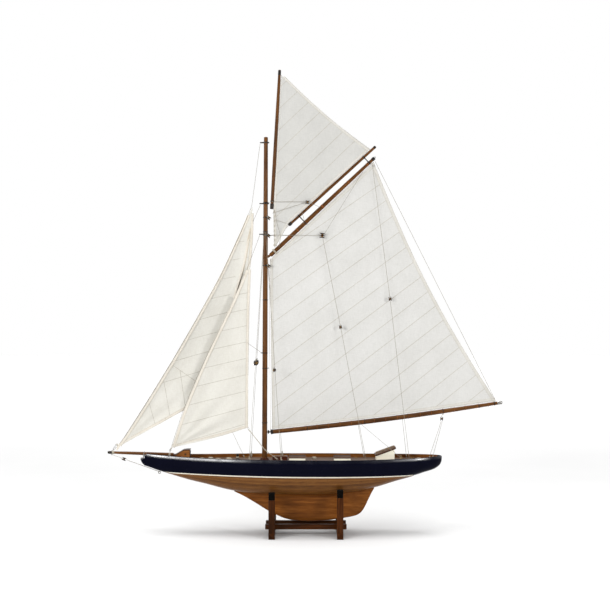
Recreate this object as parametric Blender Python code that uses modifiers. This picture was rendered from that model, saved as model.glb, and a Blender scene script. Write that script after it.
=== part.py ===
"""Display model of a gaff-rigged racing yacht on its wooden stand.

Metres, +Z up, bow towards -X, port side towards -Y. The origin is on the ground under the
middle of the model. Sizes below are in millimetres, and MM turns them into metres.
"""

import math

import bmesh
import bpy
from mathutils import Vector

MM = 0.001
GAP = 0.3           # clearance between neighbouring pieces
THREAD = 0.38       # radius of the rigging thread
SAIL = 0.6          # thickness of the sail cloth

# Stand
FRAME_X = {"fore": -70.2, "aft": 74.0}
POST_TOP = {"fore": 82.4, "aft": 87.4}
PAD_TOP = {"fore": 96.8, "aft": 102.8}
POST_WIDTH = 13.4
POST_INNER, POST_OUTER = 45.0, 58.0
CROSSBAR_Z = (5.0, 15.0)
RAIL_Y, RAIL_WIDTH, RAIL_HEIGHT = 21.5, 9.0, 10.8
RAIL_OVERHANG = 8.0
PAD_INNER = 40.0

# Hull lines: each table runs from bow to stern
SHEER = [(-345, 175), (-330, 172.5), (-300, 171), (-240, 168.5), (-200, 167.5), (-100, 166.7),
         (0, 166.2), (100, 166), (200, 167), (294, 169)]
HALF_BEAM = [(-345, 3.2), (-335, 7), (-318, 12.5), (-300, 17.5), (-250, 29.5), (-200, 40),
             (-150, 49), (-100, 56), (-50, 60.5), (0, 62), (50, 62), (100, 59.5), (150, 54),
             (200, 45.5), (240, 36), (262, 28.5), (278, 20.5), (287, 13.5), (292, 7), (294, 2)]
BODY_BOTTOM = [(-345, 148), (-335, 145), (-318, 139), (-300, 133.5), (-247, 118), (-215, 110.5),
               (-161, 97), (-134, 92.5), (-100, 90), (-50, 88.5), (0, 88), (50, 89), (100, 93.5),
               (150, 103), (193.5, 116), (223, 124), (253.5, 134), (276.5, 141), (287, 147.5),
               (292, 154), (294, 161)]
KEEL_BOTTOM = [(-152, 92.5), (-134, 84), (-106, 68), (-80, 52), (-62, 43), (-43, 35), (-20, 30.5),
               (11, 29), (47, 31), (84, 36), (107, 40.5), (117, 45), (124, 52), (131, 64.5),
               (138, 79.5), (144, 91.5), (148.5, 99)]
KEEL_HALF = [(-152, 1.5), (-100, 5), (-40, 8), (40, 8.5), (100, 6), (148.5, 1.5)]
SHELL = 3.0         # planking thickness
DECK_DROP = 7.0     # height of the bulwark over the deck
DECK_THICK = 2.0
CAP_THICK = 0.9
HOLLOW_X = (-300.0, 270.0)
SECTION_STEPS = (0.04, 0.1, 0.18, 0.3, 0.45, 0.65, 0.85, 1.0)

# Spars: ends as (x, z), radii from the first end to the last
MAST_FOOT, MAST_HEAD = (-87.27, 98.0), (-84.0, 854.0)
MAST_RADII = (5.6, 5.5, 5.1, 4.3)
MAST_HOLE = 6.0     # radius of the holes that the mast passes through
BOOM = ((-73.5, 220.2), (418.0, 282.8))
BOOM_RADII = (4.6, 5.2, 5.0, 3.5)
BOOM_SAG = 4.0
GAFF = ((-74.5, 599.5), (149.0, 809.0))
GAFF_RADII = (4.4, 4.5, 4.0, 3.2)
JACKYARD = ((-33.0, 666.0), (152.0, 834.0))
JACKYARD_RADII = (2.8, 3.2, 3.2, 2.7)
TOPSAIL_YARD = ((-71.4, 700.0), (-54.4, 998.5))
TOPSAIL_YARD_RADII = (3.4, 3.9, 3.6, 2.9)
BOWSPRIT = ((-282.0, 171.6), (-415.0, 175.9))
BOWSPRIT_RADII = (3.4, 3.5, 3.3, 2.5)
EAR_FORE, EAR_AFT = 6.5, 0.8    # how far a mast band's ears stand out
BAND_HEIGHTS = {"mast_band_head": 842.0, "mast_band_upper": 711.0, "mast_band_lower": 645.0}

# Headsail outlines as (x, z)
JIB_LUFF = [(-113, 705), (-124, 678), (-135.5, 651), (-179.5, 556), (-229.5, 467), (-281, 378),
            (-337, 287), (-390, 204), (-402, 188.5)]
JIB_LEECH = [(-113, 705), (-113.5, 660), (-116, 600), (-127, 520), (-157, 415), (-197, 301)]
JIB_FOOT = [(-197, 301), (-258, 268), (-330, 228), (-402, 188.5)]
STAYSAIL_LUFF = [(-118.5, 582), (-128, 556), (-144.5, 518.5), (-160, 485), (-184, 436),
                 (-205, 394), (-233, 332), (-262, 262), (-286.5, 186)]
STAYSAIL_LEECH = [(-118.5, 582), (-121.5, 500), (-122, 400), (-122, 300), (-122, 229.5)]
STAYSAIL_FOOT = [(-122, 229.5), (-170, 214), (-217, 201.5), (-286.5, 186)]
JIB_CLEW_Y = 16.0
JIB_DEPTH = 125.0   # distance of the jib's clew from its luff

COLOURS = {
    "navy_paint": ((0.012, 0.016, 0.045), 0.3, 0.0),
    "varnished_planks": ((0.25, 0.12, 0.045), 0.35, 0.0),
    "keel_wood": ((0.30, 0.13, 0.045), 0.38, 0.0),
    "deck_wood": ((0.33, 0.20, 0.10), 0.5, 0.0),
    "cream_paint": ((0.85, 0.83, 0.66), 0.45, 0.0),
    "red_wood": ((0.16, 0.03, 0.02), 0.4, 0.0),
    "cabin_wood": ((0.30, 0.12, 0.04), 0.4, 0.0),
    "dark_stand": ((0.13, 0.045, 0.018), 0.4, 0.0),
    "black_felt": ((0.01, 0.01, 0.01), 0.95, 0.0),
    "spar_wood": ((0.27, 0.12, 0.045), 0.4, 0.0),
    "inner_wood": ((0.45, 0.30, 0.16), 0.7, 0.0),
    "white_cloth": ((0.80, 0.79, 0.75), 0.85, 0.0),
    "cream_cloth": ((0.82, 0.78, 0.68), 0.85, 0.0),
    "thread": ((0.62, 0.58, 0.50), 0.9, 0.0),
    "steel": ((0.55, 0.55, 0.55), 0.3, 1.0),
    "block_wood": ((0.03, 0.02, 0.015), 0.5, 0.0),
}


def clear_scene():
    for obj in list(bpy.data.objects):
        bpy.data.objects.remove(obj, do_unlink=True)


def new_collection(name):
    collection = bpy.data.collections.new(name)
    bpy.context.scene.collection.children.link(collection)
    return collection


def make_material(name):
    colour, roughness, metallic = COLOURS[name]
    material = bpy.data.materials.new(name)
    material.use_nodes = True
    shader = material.node_tree.nodes["Principled BSDF"]
    shader.inputs["Base Color"].default_value = (*colour, 1.0)
    shader.inputs["Roughness"].default_value = roughness
    shader.inputs["Metallic"].default_value = metallic
    material.diffuse_color = (*colour, 1.0)
    return material


clear_scene()
MODEL = new_collection("model_sailing_yacht")
CUTTERS = new_collection("cutters")
MATERIALS = {name: make_material(name) for name in COLOURS}


# ---------------------------------------------------------------- helpers

def smooth_value(table, x):
    """Height of a smooth curve through the table's points, with no overshoot between them."""
    if x <= table[0][0]:
        return table[0][1]
    if x >= table[-1][0]:
        return table[-1][1]
    slopes = [(b[1] - a[1]) / (b[0] - a[0]) for a, b in zip(table, table[1:])]
    tangents = [slopes[0]]
    for before, after in zip(slopes, slopes[1:]):
        tangents.append(0.0 if before * after <= 0 else 2 * before * after / (before + after))
    tangents.append(slopes[-1])
    k = next(i for i in range(len(table) - 1) if x <= table[i + 1][0])
    width = table[k + 1][0] - table[k][0]
    t = (x - table[k][0]) / width
    low, high = table[k][1], table[k + 1][1]
    return ((1 + 2 * t) * (1 - t) ** 2 * low + t * (1 - t) ** 2 * width * tangents[k]
            + t * t * (3 - 2 * t) * high + t * t * (t - 1) * width * tangents[k + 1])


def along(points, t):
    """The point at fraction t of a polyline's length."""
    points = [Vector(p) for p in points]
    lengths = [(b - a).length for a, b in zip(points, points[1:])]
    left = t * sum(lengths)
    for a, b, length in zip(points, points[1:], lengths):
        if left <= length + 1e-9:
            return a.lerp(b, left / length)
        left -= length
    return points[-1]


def finish(obj, material, collection=MODEL):
    obj.data.materials.clear()
    obj.data.materials.append(MATERIALS[material])
    collection.objects.link(obj)
    return obj


def mesh_object(name, bm, material, smooth_angle=0.0, collection=MODEL):
    bmesh.ops.recalc_face_normals(bm, faces=bm.faces)
    mesh = bpy.data.meshes.new(name)
    bm.to_mesh(mesh)
    bm.free()
    if smooth_angle:
        mesh.shade_smooth()
        mesh.set_sharp_from_angle(angle=math.radians(smooth_angle))
    return finish(bpy.data.objects.new(name, mesh), material, collection)


def add_bevel(obj, width):
    bevel = obj.modifiers.new("rounded_edges", "BEVEL")
    bevel.width = width * MM
    bevel.segments = 1
    bevel.limit_method = "ANGLE"
    return obj


def box(name, x, y, z, material, bevel=0.0, collection=MODEL):
    """A box between two X, two Y and two Z values."""
    bm = bmesh.new()
    bmesh.ops.create_cube(bm, size=1.0)
    size = Vector((x[1] - x[0], y[1] - y[0], z[1] - z[0])) * MM
    centre = Vector((x[0] + x[1], y[0] + y[1], z[0] + z[1])) * MM / 2
    bmesh.ops.scale(bm, vec=size, verts=bm.verts)
    obj = mesh_object(name, bm, material, collection=collection)
    obj.location = centre
    return add_bevel(obj, bevel) if bevel else obj


def loft(name, rings, material, smooth_angle=35.0, collection=MODEL):
    """A solid through closed rings of points, all with the same number of points."""
    bm = bmesh.new()
    made = [[bm.verts.new(Vector(p) * MM) for p in ring] for ring in rings]
    count = len(rings[0])
    for first, second in zip(made, made[1:]):
        for i in range(count):
            j = (i + 1) % count
            bm.faces.new((first[i], first[j], second[j], second[i]))
    bm.faces.new(made[0])
    bm.faces.new(made[-1])
    return mesh_object(name, bm, material, smooth_angle, collection)


def plate_xz(name, outline, thickness, material):
    """A flat plate in the XZ plane, from the outline's (x, z) points."""
    curve = bpy.data.curves.new(name, "CURVE")
    curve.dimensions = "2D"
    curve.fill_mode = "BOTH"
    curve.extrude = thickness / 2 * MM
    spline = curve.splines.new("POLY")
    spline.points.add(len(outline) - 1)
    spline.use_cyclic_u = True
    for point, (px, pz) in zip(spline.points, outline):
        point.co = (px * MM, pz * MM, 0, 1)
    obj = finish(bpy.data.objects.new(name, curve), material)
    obj.rotation_euler = (math.pi / 2, 0, 0)


def thread(name, points):
    """A line of round thread through the points."""
    curve = bpy.data.curves.new(name, "CURVE")
    curve.dimensions = "3D"
    curve.bevel_depth = THREAD * MM
    curve.bevel_resolution = 2
    curve.use_fill_caps = True
    spline = curve.splines.new("POLY")
    spline.points.add(len(points) - 1)
    for point, place in zip(spline.points, points):
        point.co = (*(Vector(place) * MM), 1)
    return finish(bpy.data.objects.new(name, curve), "thread")


def turned(name, profile, material, steps=16, collection=MODEL):
    """A turned shape: (radius, height) points run from its top to its bottom."""
    mesh = bpy.data.meshes.new(name)
    points = [(r * MM, 0, h * MM) for r, h in profile]
    mesh.from_pydata(points, [(i, i + 1) for i in range(len(points) - 1)], [])
    obj = finish(bpy.data.objects.new(name, mesh), material, collection)
    screw = obj.modifiers.new("turned", "SCREW")
    screw.steps = steps
    screw.render_steps = steps
    screw.use_merge_vertices = True
    screw.merge_threshold = 0.00001
    return obj


def spar(name, ends, radii, material, sides=16):
    """A tapered round spar in the centre plane, between two (x, z) ends."""
    start, end = (Vector((p[0], 0, p[1])) for p in ends)
    length = (end - start).length
    steps = len(radii) - 1
    profile = [(0, length)]
    profile += [(r, length * (steps - i) / steps) for i, r in enumerate(reversed(radii))]
    profile += [(0, 0)]
    obj = turned(name, profile, material, sides)
    obj.location = start * MM
    obj.rotation_euler = (end - start).to_track_quat("Z", "Y").to_euler()
    return obj


def cut(obj, cutter):
    cutter.hide_render = True
    cutter.display_type = "WIRE"
    boolean = obj.modifiers.new("difference", "BOOLEAN")
    boolean.operation = "DIFFERENCE"
    boolean.solver = "EXACT"
    boolean.object = cutter


def post_cutter(name, low, high):
    """An upright round cutter for the mast's holes."""
    profile = [(0, high), (MAST_HOLE, high), (MAST_HOLE, low), (0, low)]
    cutter = turned(name, profile, "steel", collection=CUTTERS)
    cutter.location.x = MAST_FOOT[0] * MM
    return cutter


def mast_x(z):
    """Middle of the mast at a height: it leans a little forward."""
    t = (z - MAST_FOOT[1]) / (MAST_HEAD[1] - MAST_FOOT[1])
    return MAST_FOOT[0] + t * (MAST_HEAD[0] - MAST_FOOT[0])


# ---------------------------------------------------------------- hull

def sheer(x):
    return smooth_value(SHEER, x)


def deck_top(x):
    return sheer(x) - DECK_DROP


def hull_half(x, z):
    """Half the hull's width at a place on its side: a full bilge over a hollow garboard."""
    bottom, top = smooth_value(BODY_BOTTOM, x), sheer(x)
    t = min(max((z - bottom) / (top - bottom), 0.0), 1.0)
    return smooth_value(HALF_BEAM, x) * (1 - (1 - t) ** 2.6) ** 0.38


def section(x, lift=0.0, inset=0.0, top=None):
    """The hull's section at x as a ring, raised at the bottom and drawn in at the sides."""
    low = smooth_value(BODY_BOTTOM, x) + lift
    high = sheer(x) if top is None else top
    side = []
    for t in SECTION_STEPS:
        z = low + t * (high - low)
        side.append((max(hull_half(x, z) - inset, 0.6), z))
    starboard = [(x, y, z) for y, z in side]
    port = [(x, -y, z) for y, z in reversed(side)]
    return [(x, 0, low)] + starboard + port


def stations(start, end):
    """The places of the half-beam table's points between two ends."""
    return [start] + [x for x, _ in HALF_BEAM if start < x < end] + [end]


def make_hull():
    hull = loft("hull_shell", [section(x) for x in stations(-345, 294)], "varnished_planks", 50)
    hollow = [section(x, SHELL, SHELL, sheer(x) + 5) for x in stations(*HOLLOW_X)]
    cut(hull, loft("hull_hollow_cutter", hollow, "inner_wood", collection=CUTTERS))
    recess = []
    for x in stations(-341.5, 290):
        half = max(smooth_value(HALF_BEAM, x) - SHELL, 0.8)
        low, high = deck_top(x), sheer(x) + 5
        recess.append([(x, -half, low), (x, half, low), (x, half, high), (x, -half, high)])
    cut(hull, loft("deck_recess_cutter", recess, "inner_wood", collection=CUTTERS))
    notch = box("bowsprit_notch_cutter", (-350, -335), (-3.9, 3.9), (169.2, 182), "steel",
                collection=CUTTERS)
    cut(hull, notch)


def make_keel():
    rings = []
    for x, bottom in KEEL_BOTTOM:
        half = smooth_value(KEEL_HALF, x)
        top = smooth_value(BODY_BOTTOM, x) - 0.5
        root, belly = 1.5 * half, bottom + 0.55 * (top - bottom)
        rings.append([(x, -root, top), (x, root, top), (x, half, belly), (x, 0.85 * half, bottom),
                      (x, -0.85 * half, bottom), (x, -half, belly)])
    loft("keel_fin", rings, "keel_wood", 40)


def make_deck():
    rings = []
    for x in stations(HOLLOW_X[0] + 1.5, HOLLOW_X[1] - 1.5):
        top = deck_top(x)
        low = top - DECK_THICK
        half = hull_half(x, low) - SHELL - 0.6
        rings.append([(x, -half, low), (x, half, low), (x, half, top), (x, -half, top)])
    deck = loft("deck", rings, "deck_wood")
    cut(deck, post_cutter("deck_mast_cutter", 140, 180))


def make_rail_cap():
    """A painted capping strip round the top of the bulwark, open at the bow."""
    side = [(x, smooth_value(HALF_BEAM, x)) for x in stations(-342, 293.8)]
    path = [(x, -half) for x, half in side] + [(x, half) for x, half in reversed(side)]
    rings = []
    for i, (x, y) in enumerate(path):
        before, after = path[max(i - 1, 0)], path[min(i + 1, len(path) - 1)]
        run = Vector((after[0] - before[0], after[1] - before[1])).normalized()
        inward = Vector((-run.y, run.x))
        outer = Vector((x, y)) - inward * 0.4
        inner = Vector((x, y)) + inward * (2.4 if abs(y) > 6 else 1.2)
        low = sheer(x) + GAP
        high = low + CAP_THICK
        rings.append([(*outer, low), (*outer, high), (*inner, high), (*inner, low)])
    loft("rail_cap", rings, "navy_paint")


def make_bulkhead(name, x):
    thick = 3.0
    top = min(deck_top(x), deck_top(x + thick)) - DECK_THICK - 0.5
    inner = section(x if x < 0 else x + thick, SHELL + 2.0, SHELL + 1.6, top)
    loft(name, [[(x + dx, y, z) for _, y, z in inner] for dx in (0, thick)], "inner_wood", 0)


def make_mast_step():
    x, bottom = MAST_FOOT[0], smooth_value(BODY_BOTTOM, MAST_FOOT[0]) + SHELL + 1.8
    step = box("mast_step", (x - 11, x + 11), (-8, 8), (bottom, bottom + 12), "inner_wood")
    cut(step, post_cutter("step_mast_cutter", MAST_FOOT[1] - 0.5, bottom + 20))


def make_stem():
    head = [(-345.4, 163.5), (-351.5, 165), (-353.6, 162.5), (-352, 157.5), (-348.5, 152),
            (-345.4, 148.5)]
    plate_xz("stem_head", head, 5.0, "navy_paint")
    iron = [(-345.4, 169.4), (-346.8, 169.4), (-347.4, 167.2), (-350.6, 168.2), (-351, 165.9),
            (-345.4, 164.6)]
    plate_xz("stem_iron", iron, 2.6, "steel")


# ---------------------------------------------------------------- deck fittings

def block_xz(name, outline, half_width, material, bevel=0.4):
    """A deck fitting with one side view all through, chamfered along its edges."""
    rings = [[(x, y, z) for x, z in outline] for y in (-half_width, half_width)]
    return add_bevel(loft(name, rings, material, 0), bevel)


def seat(x0, x1):
    """The height at which something flat clears the deck between two places."""
    return max(deck_top(x0), deck_top(x1)) + GAP


def make_skylight(name, x0, x1):
    """A low cabin top with a gabled roof."""
    low = seat(x0, x1)
    outline = [(-17, low), (17, low), (17, low + 5.4), (0, low + 11.0), (-17, low + 5.4)]
    add_bevel(loft(name, [[(x, y, z) for y, z in outline] for x in (x0, x1)], "cream_paint", 0), 0.4)


def make_deck_fittings():
    low = seat(-279, -246.4)
    scuttle = [(-279, low), (-246.4, low), (-246.4, 183.4), (-260, 182.6), (-279, 171.8)]
    block_xz("fore_scuttle", scuttle, 11, "cabin_wood")
    low = seat(-70, -37.5)
    box("deck_hatch", (-70, -37.5), (-12, 12), (low, low + 9), "red_wood", 0.8)
    make_skylight("skylight_fore", -34.5, 1.5)
    make_skylight("skylight_aft", 61.5, 98.0)
    low = seat(152.5, 191.5)
    house = [(152.5, low), (191.5, low), (191.5, 184.5), (152.5, 170.5)]
    block_xz("companion_house", house, 18, "cream_paint")
    roof = [(150, 169.9), (194, 185.7), (194, 190.2), (150, 174.4)]
    block_xz("companion_roof", roof, 20, "cabin_wood", 0.5)
    base = seat(-150, -140)
    winch = turned("fore_winch", [(0, 13), (3.4, 13), (3.4, 11), (2.2, 8), (2.2, 4), (4.4, 1.5),
                                  (4.4, 0), (0, 0)], "block_wood", 12)
    winch.location = Vector((-145, 0, base)) * MM


def make_rope_coil(name, x, y, radius):
    """The outer shape of a coil of rope that lies on the deck."""
    low, thick = seat(x - radius, x + radius), 1.6
    ring = [(radius * 0.45, thick * 2), (radius * 0.8, thick * 2), (radius, thick),
            (radius * 0.8, 0), (radius * 0.45, 0), (radius * 0.45, thick * 2)]
    coil = turned(name, ring, "thread", 14)
    coil.location = Vector((x, y, low)) * MM


# ---------------------------------------------------------------- spars and bands

def make_mast():
    spar("mast", (MAST_FOOT, MAST_HEAD), MAST_RADII, "spar_wood")
    base = deck_top(MAST_FOOT[0]) + GAP
    ring = [(6.2, 4.5), (8.4, 4.5), (9.8, 2.5), (9.8, 0), (6.2, 0), (6.2, 4.5)]
    collar = turned("mast_collar", ring, "cabin_wood")
    collar.location = Vector((MAST_FOOT[0], 0, base)) * MM
    for name, height in BAND_HEIGHTS.items():
        make_mast_band(name, height)


def make_mast_band(name, height):
    """A metal band round the mast with a long ear in front, where the stays end."""
    t = (height - MAST_FOOT[1]) / (MAST_HEAD[1] - MAST_FOOT[1])
    radius = radius_at(MAST_RADII, t) + 0.4
    curve = bpy.data.curves.new(name, "CURVE")
    curve.dimensions = "2D"
    curve.fill_mode = "BOTH"
    curve.extrude = 1.1 * MM
    turns = [math.tau * i / 24 for i in range(24)]
    hole = [(radius * math.cos(a), radius * math.sin(a)) for a in turns]
    outer = []
    for a in turns:
        ear = EAR_FORE if math.cos(a) < 0 else EAR_AFT
        outer.append(((radius + 1.6) * math.cos(a) + ear * math.cos(a) ** 9,
                      (radius + 1.6) * math.sin(a)))
    for outline in (outer, hole):
        spline = curve.splines.new("POLY")
        spline.points.add(len(outline) - 1)
        spline.use_cyclic_u = True
        for point, (x, y) in zip(spline.points, outline):
            point.co = (x * MM, y * MM, 0, 1)
    band = finish(bpy.data.objects.new(name, curve), "steel")
    band.location = Vector((mast_x(height), 0, height)) * MM


def boom_middle(t):
    """A point on the boom's axis, which sags a little between its ends."""
    (x0, z0), (x1, z1) = BOOM
    return x0 + t * (x1 - x0), z0 + t * (z1 - z0) - BOOM_SAG * math.sin(math.pi * t)


def radius_at(radii, t):
    return smooth_value([(i / (len(radii) - 1), r) for i, r in enumerate(radii)], t)


def make_boom():
    sides, rings = 14, []
    for i in range(11):
        x, z = boom_middle(i / 10)
        radius = radius_at(BOOM_RADII, i / 10)
        turns = [math.tau * k / sides for k in range(sides)]
        rings.append([(x, radius * math.cos(a), z + radius * math.sin(a)) for a in turns])
    loft("boom", rings, "spar_wood", 50)
    cap = turned("boom_cap", [(0, 6.2), (2.0, 6.0), (3.6, 4.5), (3.6, 0), (0, 0)], "steel")
    cap.location = Vector((BOOM[1][0] + GAP, 0, BOOM[1][1])) * MM
    cap.rotation_euler = (0, math.pi / 2, 0)
    x, z = BOOM[0]
    box("gooseneck", (x - 7.2, x - GAP), (-2.6, 2.6), (z - 3.6, z + 3.6), "steel", 0.6)


def make_bowsprit():
    spar("bowsprit", BOWSPRIT, BOWSPRIT_RADII, "spar_wood")
    cap = turned("bowsprit_cap", [(0, 9), (2.2, 8.6), (2.8, 7.4), (2.8, 0), (0, 0)], "steel")
    cap.location = Vector((BOWSPRIT[1][0] - GAP, 0, BOWSPRIT[1][1])) * MM
    cap.rotation_euler = (0, -math.pi / 2, 0)


# ---------------------------------------------------------------- sails

def offset_line(ends, radii, side, t, room=0.9):
    """A point beside a straight spar: side is +1 above it and -1 below it."""
    start, end = Vector(ends[0]), Vector(ends[1])
    run = (end - start).normalized()
    normal = Vector((-run.y, run.x)) * side
    return tuple(start.lerp(end, t) + normal * (radius_at(radii, t) + room))


def bowed(a, b, hollow, count):
    """Points between a and b on a line that is hollow towards the right of its run."""
    a, b = Vector(a), Vector(b)
    run = (b - a).normalized()
    normal = Vector((run.y, -run.x))
    return [tuple(a.lerp(b, i / count) + normal * hollow * math.sin(math.pi * i / count))
            for i in range(1, count)]


def make_mainsail():
    throat = (-74.0, 591.0)
    head = [offset_line(GAFF, GAFF_RADII, -1, t) for t in (0.04, 0.35, 0.67, 0.975)]
    clew_t = 0.985
    foot = []
    for i in range(6):
        t = clew_t + i / 5 * (0.005 - clew_t)
        x, z = boom_middle(t)
        foot.append((x, z + radius_at(BOOM_RADII, t) + 1.2))
    outline = [throat] + head + bowed(head[-1], foot[0], 17.0, 8) + foot
    plate_xz("mainsail", outline, SAIL, "white_cloth")


def make_topsail():
    head = offset_line(TOPSAIL_YARD, TOPSAIL_YARD_RADII, -1, 0.965)
    luff = [offset_line(TOPSAIL_YARD, TOPSAIL_YARD_RADII, -1, t) for t in (0.0, 0.5)]
    tack = (-66.0, 615.5)
    foot = [offset_line(JACKYARD, JACKYARD_RADII, 1, t) for t in (0.95, 0.65, 0.35, 0.0)]
    outline = [tack] + luff + [head] + bowed(head, foot[0], 5.0, 6) + foot
    plate_xz("topsail", outline, SAIL, "white_cloth")


def make_headsail(name, luff, leech, foot, clew_y):
    """A three-cornered sail as rows from its luff to its leech and then its foot."""
    tack, head = Vector(luff[-1]), Vector(luff[0])
    run = (head - tack).normalized()

    def place(point, lift):
        offset = point - tack
        away = offset.x * run.y - offset.y * run.x
        return (point.x, clew_y * away / JIB_DEPTH + lift, point.y)

    rows = []
    count, on_leech = 16, 0.62
    for i in range(count + 1):
        u = 0.012 + 0.976 * i / count
        if u < on_leech:
            right = along(leech, u / on_leech)
        else:
            right = along(foot, (u - on_leech) / (1 - on_leech))
        left = along(luff, u)
        left = left.lerp(right, 0.01)
        rows.append([place(left, -SAIL / 2), place(right, -SAIL / 2), place(right, SAIL / 2),
                     place(left, SAIL / 2)])
    loft(name, rows, "cream_cloth", 60)


# ---------------------------------------------------------------- standing and running rigging

def shifted(points, dx):
    return [(x - dx, 0, z) for x, z in points]


def mirrored(points, side):
    """The points on port, or on starboard for side = 1."""
    return [(x, y * side, z) for x, y, z in points]


def make_rigging():
    band = {name: mast_x(z) - 12.5 for name, z in BAND_HEIGHTS.items()}
    stay = [(band["mast_band_head"], 0, 839.5)] + shifted(JIB_LUFF, 1.6) + [(-413.5, 0, 179.4)]
    thread("jib_stay", stay)
    luff = shifted(STAYSAIL_LUFF, 1.6)
    thread("staysail_stay", [(band["mast_band_lower"], 0, 642.8)] + luff + [(-290.5, 0, 177.2)])
    thread("bobstay_pendant", [(-415.5, 0, 171.6), (-394.2, 0, 163.9)])
    thread("bobstay", [(-383.8, 0, 160.2), (-312.5, 0, 134.6)])
    box("bobstay_block", (-393.6, -384.4), (-2.4, 2.4), (159, 165), "block_wood", 1.0)
    for side, label in ((-1, "port"), (1, "starboard")):
        shroud = [(-118, 47, 164), (-87.5, 8, 650), (-84.5, 8, 650), (-50, 54, 164)]
        thread(f"shroud_{label}", mirrored(shroud, side))
        lift = [(-73, 6.4, 643), (37, 8.5, 642), (76, 18, 446), (129, 50, 164)]
        thread(f"lift_{label}", mirrored(lift, side))
        vang = [(144, 5.5, 797), (182, 13, 506), (221, 36, 165)]
        thread(f"vang_{label}", mirrored(vang, side))
    thread("jib_sheet", [(-195, JIB_CLEW_Y + 1.5, 297), (-132, 22, 164)])
    thread("staysail_sheet", [(-121, -1.6, 226), (-85, -13.5, 183), (-60, -17, 164.5)])
    thread("topping_lift", [(150, -4.2, 802), (408, -4.6, 290)])
    thread("mainsheet", [(266, -10, 166), (292.8, 0, 242.8), (295.2, 0, 242.8), (276, 10, 166)])
    box("mainsheet_block", (290.6, 297.4), (-2.4, 2.4), (243.6, 252.6), "block_wood", 1.0)
    thread("peak_halyard", [(-72, -5.6, 714.5), (0.6, -7, 714.2), (0.6, -7, 712.4),
                            (-70, -5.6, 690)])
    box("gaff_block", (1.4, 8.6), (-9.4, -4.6), (709.4, 717.4), "block_wood", 1.0)


# ---------------------------------------------------------------- stand

def make_stand_frame(label):
    """Two posts joined by a crossbar, as one H."""
    x = FRAME_X[label]
    width = (x - POST_WIDTH / 2, x + POST_WIDTH / 2)
    low, high = CROSSBAR_Z
    top = POST_TOP[label]
    outline = [(-POST_OUTER, 0), (-POST_INNER, 0), (-POST_INNER, low), (POST_INNER, low),
               (POST_INNER, 0), (POST_OUTER, 0), (POST_OUTER, top), (POST_INNER, top),
               (POST_INNER, high), (-POST_INNER, high), (-POST_INNER, top), (-POST_OUTER, top)]
    rings = [[(side, y, z) for y, z in outline] for side in width]
    add_bevel(loft(f"stand_frame_{label}", rings, "dark_stand", 0), 0.6)
    for side, name in ((-1, "port"), (1, "starboard")):
        make_pad(f"stand_pad_{label}_{name}", width, side, top + GAP, PAD_TOP[label])


def make_pad(name, width, side, low, high):
    """A felt pad on a post: its inner top edge follows the hull's side."""
    x0, x1 = width
    lean = []
    for i in range(4):
        z = low + 5 + (high - low - 5) * i / 3
        half = max(hull_half(x0, z), hull_half(x1, z)) + 0.5
        lean.append((max(half, PAD_INNER), z))
    outline = [(PAD_INNER, low), (POST_OUTER - 0.3, low), (POST_OUTER - 0.3, high - 4)]
    outline += [(max(lean[-1][0] + 3.0, POST_OUTER - 5), high)] + list(reversed(lean))
    rings = [[(x, y * side, z) for y, z in outline] for x in (x0 + 0.3, x1 - 0.3)]
    loft(name, rings, "black_felt", 0)


def make_stand():
    for label in FRAME_X:
        make_stand_frame(label)
    start = FRAME_X["fore"] - POST_WIDTH / 2 - RAIL_OVERHANG
    end = FRAME_X["aft"] + POST_WIDTH / 2 + RAIL_OVERHANG
    low = CROSSBAR_Z[1] + GAP
    for side, name in ((-1, "port"), (1, "starboard")):
        middle = side * RAIL_Y
        box(f"stand_rail_{name}", (start, end), (middle - RAIL_WIDTH / 2, middle + RAIL_WIDTH / 2),
            (low, low + RAIL_HEIGHT), "dark_stand", 0.6)


make_stand()
make_hull()
make_keel()
make_deck()
make_rail_cap()
make_bulkhead("bulkhead_fore", -180.0)
make_bulkhead("bulkhead_aft", 140.0)
make_mast_step()
make_stem()
make_deck_fittings()
make_rope_coil("rope_coil", -222.0, -9.0, 7.0)
make_mast()
make_boom()
spar("gaff", GAFF, GAFF_RADII, "spar_wood")
spar("jackyard", JACKYARD, JACKYARD_RADII, "spar_wood", 12)
spar("topsail_yard", TOPSAIL_YARD, TOPSAIL_YARD_RADII, "spar_wood")
make_bowsprit()
make_mainsail()
make_topsail()
make_headsail("jib", JIB_LUFF, JIB_LEECH, JIB_FOOT, JIB_CLEW_Y)
make_headsail("staysail", STAYSAIL_LUFF, STAYSAIL_LEECH, STAYSAIL_FOOT, 0.0)
make_rigging()
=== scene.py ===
"""Looks of a gaff-rigged racing yacht on its stand: timber, paint, cloth, rigging and fittings.

The scene is in metres. Sizes in this file are in millimetres, and MM turns them into metres.
The bow is towards -X and the port side towards -Y.
"""

import math

import bmesh
import bpy
from mathutils import Matrix, Vector


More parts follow.
